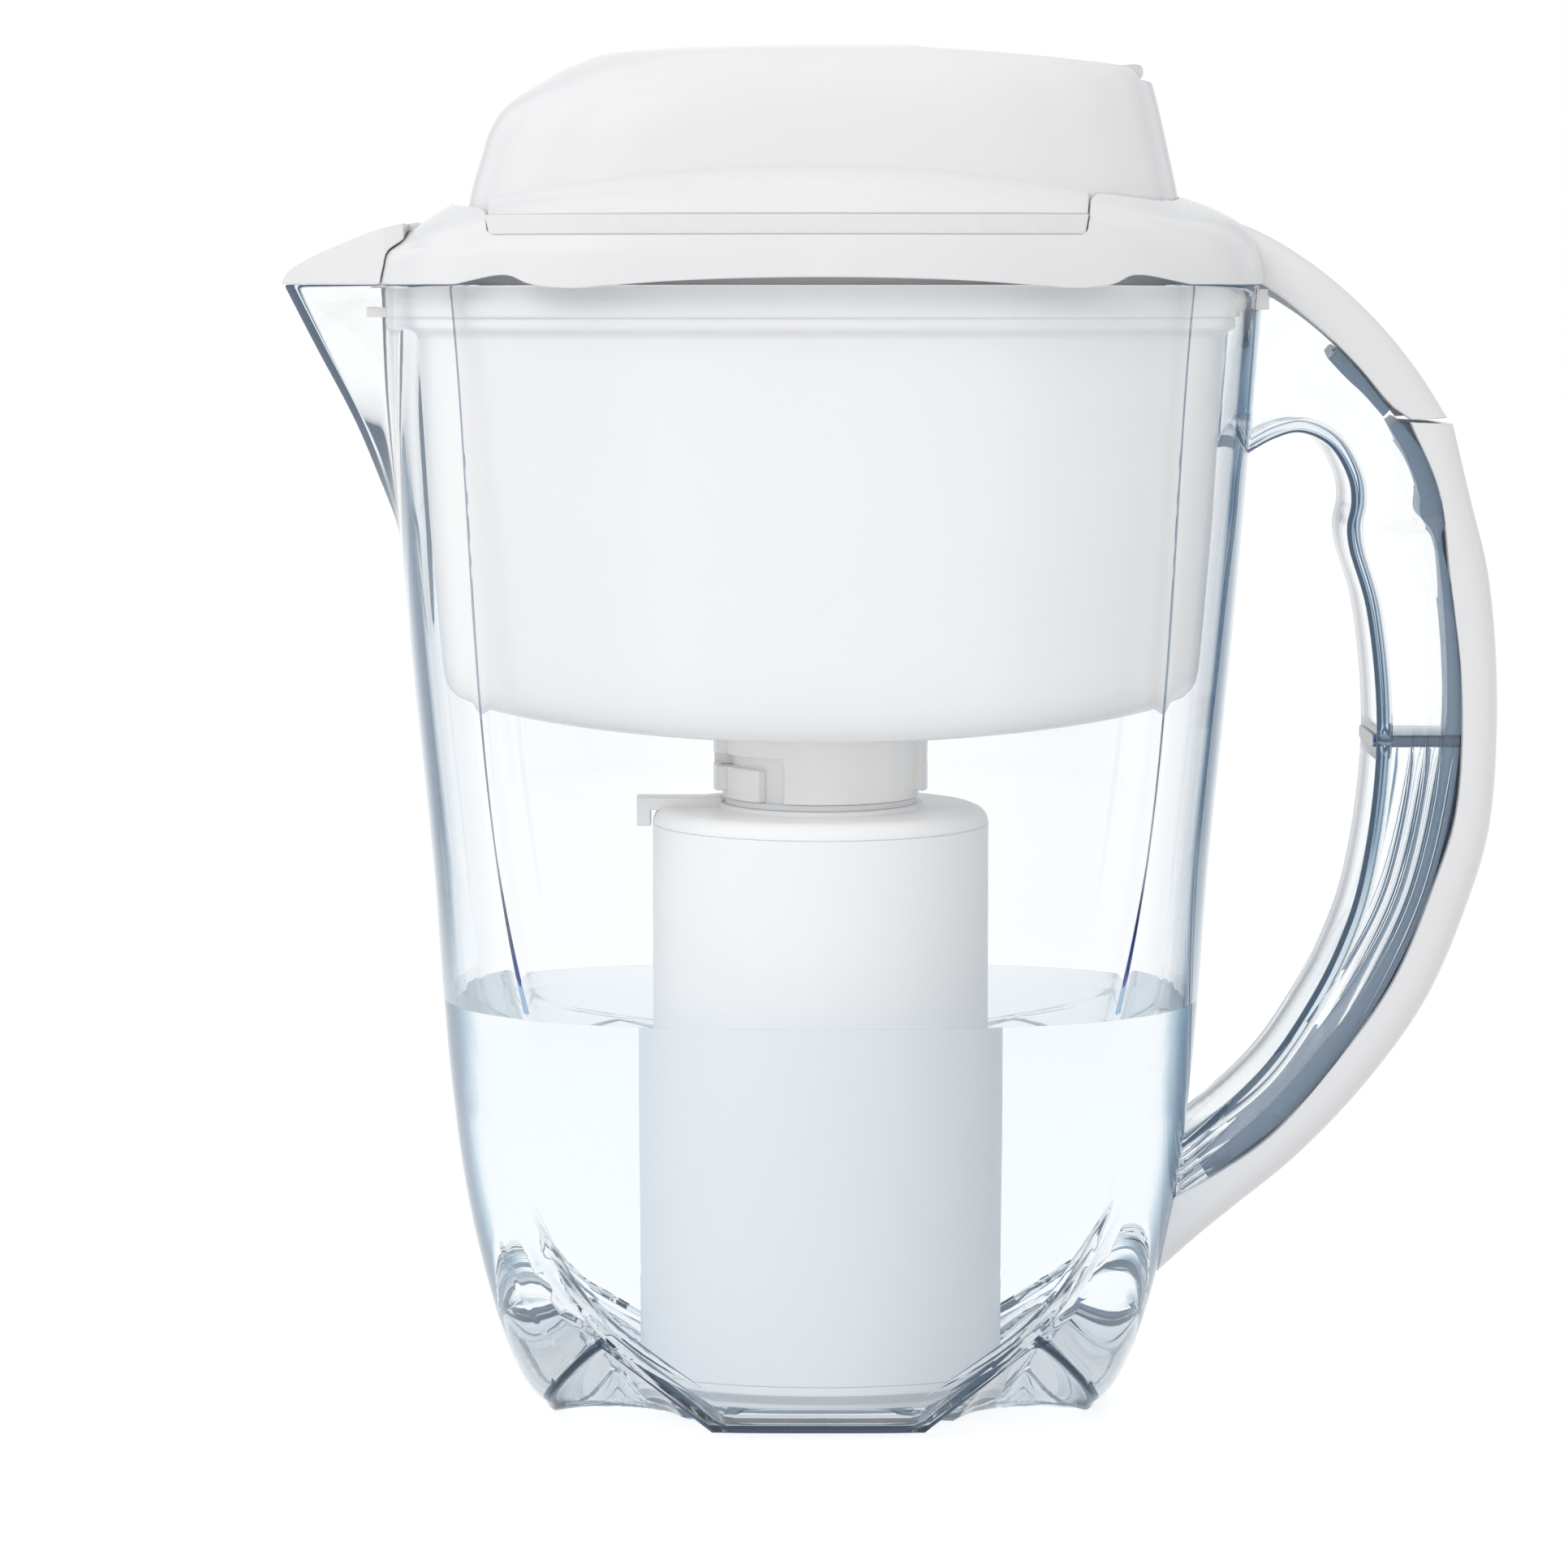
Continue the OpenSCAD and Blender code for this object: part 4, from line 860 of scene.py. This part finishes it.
def recess(gap, bottom, corner, shoulders=None):
    """Room between the recess's leaning ends, with rounded lower corners, and shoulders where given."""
    def left(z):
        return RECESS_L - (z - RECESS_Z) * LEAN_L + gap

    def right(z):
        return RECESS_R + (z - RECESS_Z) * LEAN_R - gap

    turn = np.linspace(0, math.pi / 2, 9)
    bow = [[corner * (1 - math.sin(t)), bottom + corner * (1 - math.cos(t))] for t in turn]
    outline = [[left(z) + a, z] for a, z in bow[::-1]] + [[right(z) - a, z] for a, z in bow]
    if shoulders is None:
        outline += [[right(ABOVE), ABOVE], [left(ABOVE), ABOVE]]
    else:
        r = SHOULDER_R
        low, high = shoulders
        far_left, far_right = left(low) - 8, right(high) + 14
        outline += [[right(high - r) + r * (1 - math.cos(t)), high - r + r * math.sin(t)] for t in turn]
        outline += [[far_right, high - 1.2], [far_right, ABOVE], [far_left, ABOVE], [far_left, low + 0.8]]
        outline += [[left(low - r) - r * (1 - math.cos(t)), low - r + r * math.sin(t)] for t in turn[::-1]]
    return prism("recess", outline, -70, 70)


# Slope of the cut in front of the flap, and rounding of the edge along it
DOME_FRONT_RISE, DOME_EDGE = 0.3, 1.2


def dome_block(inset, drop, start):
    """The dome's outside as a solid, drawn in and lowered, its rear top taken off along the flap's slope."""
    rows = [[r[0] + inset, r[1] - inset, r[2] - inset, r[3]] for r in DOME_ROWS]
    rings = []
    for z in levels_between([[r[3], r[1]] for r in rows], 60):
        x, y = oval(*columns_at(rows, z), *DOME_OVAL)
        slope = FLAP_FRONT_Z - (x - FLAP_FRONT) * math.tan(FLAP_SLOPE)
        slope = np.where(x < FLAP_FRONT, slope + (FLAP_FRONT - x) * DOME_FRONT_RISE, slope)
        rings.append(np.stack([x, y, blend_min(np.full_like(x, z), slope, DOME_EDGE) - drop], -1))
    return capped("dome", [ring_at(rings[0], start)] + rings, RIM_Z)


def on_flap(points):
    """From the flap's own axes to X and height over the rim."""
    c, s = math.cos(FLAP_SLOPE), math.sin(FLAP_SLOPE)
    return [[FLAP_PIVOT[0] + p * c + q * s, FLAP_PIVOT[1] - p * s + q * c] for p, q in points]


def flap_box(low, high, half, bottom, top):
    """Block along the flap, from its pin outwards."""
    return prism("flap_box", on_flap(box_outline(low, high, bottom, top)), -half, half)


# Lower edge of the ring's front and back: an apron with a low bump near each end
APRON = [[-68, 0], [-58, 1.7], [-54, 0.2], [-50, -0.5], [-45, -0.7], [-39, -0.2], [-25, 0.75], [-8, 1.25],
         [8, 1.25], [25, 0.75], [39, -0.2], [45, -0.7], [50, -0.5], [53.5, 0.2], [57, 1.7], [68, 0]]
RING_LEFT, RING_RIGHT, RING_HALF, RING_FOOT = CROWN_ROWS[0][:4]
# Rooms cut out of the ring: inset at the ends, inset at the sides, and top
RING_ROOMS = (("inside", LID_WALL, LID_WALL, 3), ("rim_room", 0.5, 0.75, 0.06))
PIN_R, EAR_R, EAR_HALF, EAR_Y = 0.93, 2.1, 1.5, 9.4
SLOT_PLAN, SLOT_HEIGHTS = (-82, -74.8, -7.4, 7.4), (7, 19)


def make_ring():
    o = crown(0, 0, -1.2)
    cut(o, crown(LID_WALL, LID_WALL + 0.2))
    for name, end, side, top in RING_ROOMS:
        outline = np.stack(oval(RING_LEFT + end, RING_RIGHT - end, RING_HALF - side, *CROWN_OVAL), -1)
        cut(o, upright(name, outline, -3, top))
    edge = [[-100, -9], [100, -9], [100, RING_FOOT]] + curve_through(APRON, 8).tolist()[::-1]
    cut(o, prism("apron_edge", edge + [[-100, RING_FOOT]], -70, 70))
    for side in (-1, 1):
        ear = rod("ear", *SPOUT_PIVOT, EAR_R, EAR_HALF)
        ear.data.transform(Matrix.Translation((0, side * EAR_Y * MM, 0)))
        join(o, common(ear, crown(0.1, 0.1)))
    cut(o, recess(0, RECESS_Z, RECESS_CORNER, SHOULDER_TOPS), dome_block(-LID_GAP, 0, 8))
    cut(o, upright("tongue_slot", box_outline(*SLOT_PLAN), *SLOT_HEIGHTS))
    cut(o, rod("pin_hole", *SPOUT_PIVOT, PIN_R, 12))
    o.name = "lid_ring_white"
    finish_mesh(o, "lid", WHITE, LID_ANGLE)
    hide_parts("lid_ring")


# The dome's flange: its place inside the ring and under the ring's top, and its thickness
FLANGE_IN, FLANGE_DROP, FLANGE_SHEET = 0.9, 0.8, 1.6
# The opening under the flap: distance from the pin, from the flap's end and from its sides
OPENING_START, OPENING_END, OPENING_SIDE = 6, 7, 4


def make_dome():
    flange = common(crown(FLANGE_IN, FLANGE_DROP), recess(LID_GAP, 9, RECESS_CORNER))
    hollow = common(crown(FLANGE_IN + LID_WALL, FLANGE_DROP + LID_WALL),
                    recess(LID_GAP + FLANGE_SHEET, 5, 0.4))
    o = join(dome_block(0, 0, 10), flange)
    cut(o, dome_block(LID_WALL, LID_WALL, 5), hollow)
    pad = common(flap_box(-4.6, FLAP_LEN + 0.8, FLAP_HALF + 5, PIVOT_DROP - 6.4, PIVOT_DROP + 1),
                 dome_block(0.4, 0.1, 5))
    join(o, pad)
    cut(o, upright("below", box_outline(-100, 100, -100, 100), -20, LINER_TOP + 0.05))
    seat = FLAP_HALF + FLAP_GAP
    cut(o, flap_box(0, FLAP_LEN + 12, seat, PIVOT_DROP - FLAP_T - FLAP_GAP, 8))
    cut(o, flap_box(-PIVOT_DROP - FLAP_GAP, 10, seat, 0, 8))
    cut(o, flap_box(OPENING_START, FLAP_LEN - OPENING_END, FLAP_HALF - OPENING_SIDE, -20, 10))
    cut(o, rod("groove", *FLAP_PIVOT, PIVOT_DROP + FLAP_GAP, seat), rod("pin_hole", *FLAP_PIVOT, 1.13, 25.5))
    o.name = "dome_white"
    finish_mesh(o, "lid", WHITE, LID_ANGLE)
    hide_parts("lid_dome")


# The flap's free edge, from its end and from its top, and the corners there
FLAP_LIP = [[-5.5, 0], [-3.4, 0.25], [-1.8, 0.55], [-0.6, 0.5], [0, 0], [0.1, -0.9], [-0.3, 0.2 - FLAP_T],
            [-1.4, -FLAP_T]]
FLAP_CORNER, FLAP_REACH = 6.0, 0.3


def make_fill_flap():
    lip = curve_through([[FLAP_LEN + p, PIVOT_DROP + q] for p, q in FLAP_LIP], 5).tolist()
    side = on_flap([[0, PIVOT_DROP - FLAP_T], [0, PIVOT_DROP]] + lip)
    o = prism("fill_flap_white", side, -FLAP_HALF, FLAP_HALF)
    end = FLAP_PIVOT[0] + FLAP_LEN * math.cos(FLAP_SLOPE) + FLAP_REACH
    r, half = FLAP_CORNER, FLAP_HALF
    turn = np.linspace(0, math.pi / 2, 12)
    corner = [[end - r + r * math.sin(t), half - r + r * math.cos(t)] for t in turn]
    plan = [[0, half]] + corner
    common(o, upright("plan", plan + flipped(plan), 20, 60))
    join(o, rod("barrel", *FLAP_PIVOT, PIVOT_DROP - 0.02, FLAP_HALF - 0.3))
    cut(o, rod("pin_hole", *FLAP_PIVOT, 1.14, 30))
    finish_mesh(o, "fill_flap", WHITE, LID_ANGLE)
    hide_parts("fill_flap")


SPOUT_TOP = [[-78.9, 11.5], [-84.6, 10.1], [-91.9, 7.5], [-99.2, 4.4], [-102.6, 2.2], [-103.9, 0.1]]
# The spout cover in plan: reach, half width, end of its straight sides, then its wall and its nose's shape
COVER_REACH, COVER_HALF, COVER_STRAIGHT, COVER_SHELL = 104.1, 17.6, -82.5, 1.8
NOSE = [[3.6, 3.2], [1, 2.1], [0, 0], [1, -2.1], [3.6, -3.2]]
# The part of the cover between the ears, in X and height
KNUCKLE = [[-81.5, 9.4], [-81.5, 10.8], [-78.9, 11.5], [SPOUT_PIVOT[0], 11.8], [SPOUT_PIVOT[0], 8.4],
           [-79, 9]]


def spout_plan(inset, low, high):
    """The spout cover's outline, drawn in, as an upright solid."""
    reach, y = COVER_REACH - inset * 1.3, COVER_HALF - inset
    nose = curve_through([[a - reach, b] for a, b in NOSE], 6).tolist()
    outline = [[-70, y], [COVER_STRAIGHT, y]] + nose + [[COVER_STRAIGHT, -y], [-70, -y]]
    return upright("plan", outline, low, high)


def make_spout_flap():
    top = curve_through(SPOUT_TOP, 8)
    o = prism("spout_flap_white", [[-70, 0.1], [-70, 13]] + top.tolist(), -30, 30)
    common(o, spout_plan(0, -9, 30))
    cut(o, prism("rear", box_outline(SPOUT_TOP[0][0], -60, -9, 30), -40, 40))
    cut(o, crown(-LID_GAP, -LID_GAP, -3))
    ceiling = [[-88, -3], [-88, 9]] + [[x, z - COVER_SHELL] for x, z in top if x < -88.1]
    cut(o, common(prism("room", ceiling, -30, 30), spout_plan(COVER_SHELL, -9, 30)))
    join(o, prism("tongue", KNUCKLE, -7, 7), rod("barrel", *SPOUT_PIVOT, 1.7, 6.98))
    cut(o, rod("pin_hole", *SPOUT_PIVOT, 0.94, 20))
    finish_mesh(o, "spout_flap", WHITE, LID_ANGLE)
    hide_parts("spout_flap")


make_ring()
make_dome()
make_fill_flap()
make_spout_flap()

# -------- exact pieces

DRESSED = (
    (TANK, "reservoir filter_socket"),
    (WHITE, "lid_ring lid_liner lid_dome fill_flap spout_flap handle_cover handle_cap"),
    (CLEAR, "jug handle_grip"),
    (CARTRIDGE, "cartridge_shell cartridge_cap cartridge_base inlet_screen upper_fleece filter_bed "
                "lower_fleece"),
    (SEAL, "neck_seal"),
    (PIN, "fill_flap_pin spout_flap_pin"),
)
for material, names in DRESSED:
    for name in names.split():
        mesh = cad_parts[name].data
        mesh.materials.clear()
        mesh.materials.append(material)

# -------- stage and light

WHITE_LIGHT, GREY, BLACK, AROUND = (1, 1, 1), (0.45, 0.45, 0.45), (0, 0, 0), 4
# Light that shines through the clear pieces, by direction: white along X and Y (position 1), blue-grey on the
# diagonals between them (position 0)
THROUGH = [[0.0, (0.08, 0.15, 0.23)], [0.12, (0.2, 0.32, 0.43)], [0.3, (0.6, 0.72, 0.8)],
           [0.42, (0.92, 0.96, 0.98)], [0.52, WHITE_LIGHT], [1.0, WHITE_LIGHT]]
# The same for light that clear pieces have also reflected inside their walls, and the floor close by for it
INSIDE_WALL = [[0.0, (0.1, 0.17, 0.25)], [0.3, (0.3, 0.42, 0.53)], [0.6, (0.7, 0.8, 0.87)],
               [1.0, (0.85, 0.91, 0.95)]]
NEAR_FLOOR = (0.8, 0.87, 0.92)
# Sine of the height over the horizon, and how far the light from there turns to the dimmed colour
HIGH = [[0.0, BLACK], [0.08, BLACK], [0.25, GREY], [0.6, GREY], [0.85, (0.1, 0.1, 0.1)], [1.0, BLACK]]
DIMMED = (0.1, 0.17, 0.25)
# The same for reflected light, which turns to the colour overhead
RISING, OVERHEAD = [[0.12, BLACK], [0.4, WHITE_LIGHT]], (0.88, 0.93, 0.96)
# Studio that white pieces mirror, and strength of the light that falls on matt surfaces
MIRRORED = [[0.0, (0.9, 0.92, 0.94)], [0.35, (0.5, 0.54, 0.58)], [0.7, (0.75, 0.78, 0.8)], [1.0, WHITE_LIGHT]]
SOFT_LIGHT = 0.82


def colour_ramp(tree, factor, rows):
    ramp = tree.nodes.new("ShaderNodeValToRGB")
    stops = ramp.color_ramp.elements
    for position, colour in rows[1:-1]:
        stops.new(position)
    for stop, (position, colour) in zip(stops, rows):
        stop.position, stop.color = position, (*colour, 1)
    tree.links.new(factor, ramp.inputs["Fac"])
    return ramp.outputs["Color"]


def around(tree, vector):
    """0 to 1 and back, four times around the vertical axis, and 1 along X."""
    split = node(tree, "ShaderNodeSeparateXYZ", Vector=vector)
    angle = calculate(tree, "ARCTAN2", split["Y"], split["X"])
    wave = calculate(tree, "COSINE", calculate(tree, "MULTIPLY", angle, AROUND))
    return calculate(tree, "MULTIPLY_ADD", wave, 0.5, 0.5)


def crossed_clear(tree, path):
    """1 for a ray that went through clear pieces, and 1 for one that they also reflected."""
    through, glossy = (calculate(tree, "GREATER_THAN", path[depth], 0.5)
                       for depth in ("Transmission Depth", "Glossy Depth"))
    return through, calculate(tree, "MULTIPLY", through, glossy)


# The floor's half size and the distances between which its light for clear pieces changes, its own light, its
# two shades, their noise, and the shade that matt surfaces see
FLOOR_HALF_M, FLOOR_FADE_M, FLOOR_LIGHT = 6, (0.3, 0.7), 0.8
PALE, PALE_TOO, PALE_SCALE, FLOOR_SEEN = (0.3, 0.3, 0.3), (0.29, 0.29, 0.29), 3, (0.8, 0.8, 0.8)


def make_floor():
    """White floor, which rays from clear pieces see blue-grey on the diagonals, like the studio."""
    mesh = bpy.data.meshes.new("floor")
    bm = bmesh.new()
    bmesh.ops.create_grid(bm, x_segments=4, y_segments=4, size=FLOOR_HALF_M)
    bm.to_mesh(mesh)
    bm.free()
    floor = bpy.data.objects.new("floor", mesh)
    bpy.context.scene.collection.objects.link(floor)
    m, tree, out = new_material("floor_white")
    path = node(tree, "ShaderNodeLightPath")
    place = node(tree, "ShaderNodeTexCoord")["Object"]
    length = node(tree, "ShaderNodeVectorMath", operation="LENGTH", Vector=place)["Value"]
    far = remap(tree, length, 0, 1, FLOOR_FADE_M)
    through, reflected = crossed_clear(tree, path)
    wave = around(tree, place)
    clear_colour = mix_colours(tree, far, WHITE_LIGHT, colour_ramp(tree, wave, THROUGH))
    wall_colour = mix_colours(tree, far, NEAR_FLOOR, colour_ramp(tree, wave, INSIDE_WALL))
    tint = mix_colours(tree, through, WHITE_LIGHT, clear_colour)
    tint = mix_colours(tree, reflected, tint, wall_colour)
    pale = mix_colours(tree, object_noise(tree, PALE_SCALE), PALE, PALE_TOO)
    seen = node(tree, "ShaderNodeEmission", Strength=FLOOR_LIGHT, Color=tint)["Emission"]
    matt = node(tree, "ShaderNodeBsdfDiffuse", Color=mix_colours(tree, 1.0, pale, tint, "MULTIPLY"))["BSDF"]
    both = in_order(tree, "ShaderNodeAddShader", seen, matt)
    plain = node(tree, "ShaderNodeBsdfDiffuse", Color=FLOOR_SEEN)["BSDF"]
    put(tree, mix_shaders(tree, path["Is Diffuse Ray"], both, plain), out["Surface"])
    mesh.materials.append(m)


def make_world():
    """White for the camera, even light for matt surfaces, and a studio for mirrored and clear rays."""
    world = bpy.data.worlds.new("studio")
    bpy.context.scene.world = world
    world.use_nodes = True
    tree = world.node_tree
    tree.nodes.clear()
    out = tree.nodes.new("ShaderNodeOutputWorld").inputs
    path = node(tree, "ShaderNodeLightPath")
    place = node(tree, "ShaderNodeTexCoord")["Generated"]
    through, reflected = crossed_clear(tree, path)
    wave = around(tree, place)
    up = node(tree, "ShaderNodeSeparateXYZ", Vector=place)["Z"]
    clear_colour = mix_colours(tree, colour_ramp(tree, up, HIGH), colour_ramp(tree, wave, THROUGH), DIMMED)
    colour = mix_colours(tree, through, colour_ramp(tree, wave, MIRRORED), clear_colour)
    walls = colour_ramp(tree, wave, INSIDE_WALL)
    wall_colour = mix_colours(tree, colour_ramp(tree, up, RISING), walls, OVERHEAD)
    colour = mix_colours(tree, reflected, colour, wall_colour)
    camera, soft, seen = (node(tree, "ShaderNodeBackground", Color=c, Strength=s)["Background"]
                          for c, s in ((WHITE_LIGHT, 1.0), (WHITE_LIGHT, SOFT_LIGHT), (colour, 1.0)))
    shiny = calculate(tree, "MAXIMUM", path["Is Glossy Ray"], path["Is Transmission Ray"])
    shown = mix_shaders(tree, path["Is Camera Ray"], mix_shaders(tree, shiny, soft, seen), camera)
    put(tree, shown, out["Surface"])


make_floor()
make_world()
lamp = bpy.data.lights.new("key", "AREA")
lamp.shape, lamp.size, lamp.energy = "DISK", 1.2, 14
key = bpy.data.objects.new("key", lamp)
bpy.context.scene.collection.objects.link(key)
key.location = (-1.1, -1.3, 1.5)
key.visible_glossy = key.visible_transmission = False
key.rotation_euler = (Vector((0, 0, 0.12)) - key.location).to_track_quat("-Z", "Y").to_euler()
bpy.context.scene.view_settings.view_transform = "Standard"
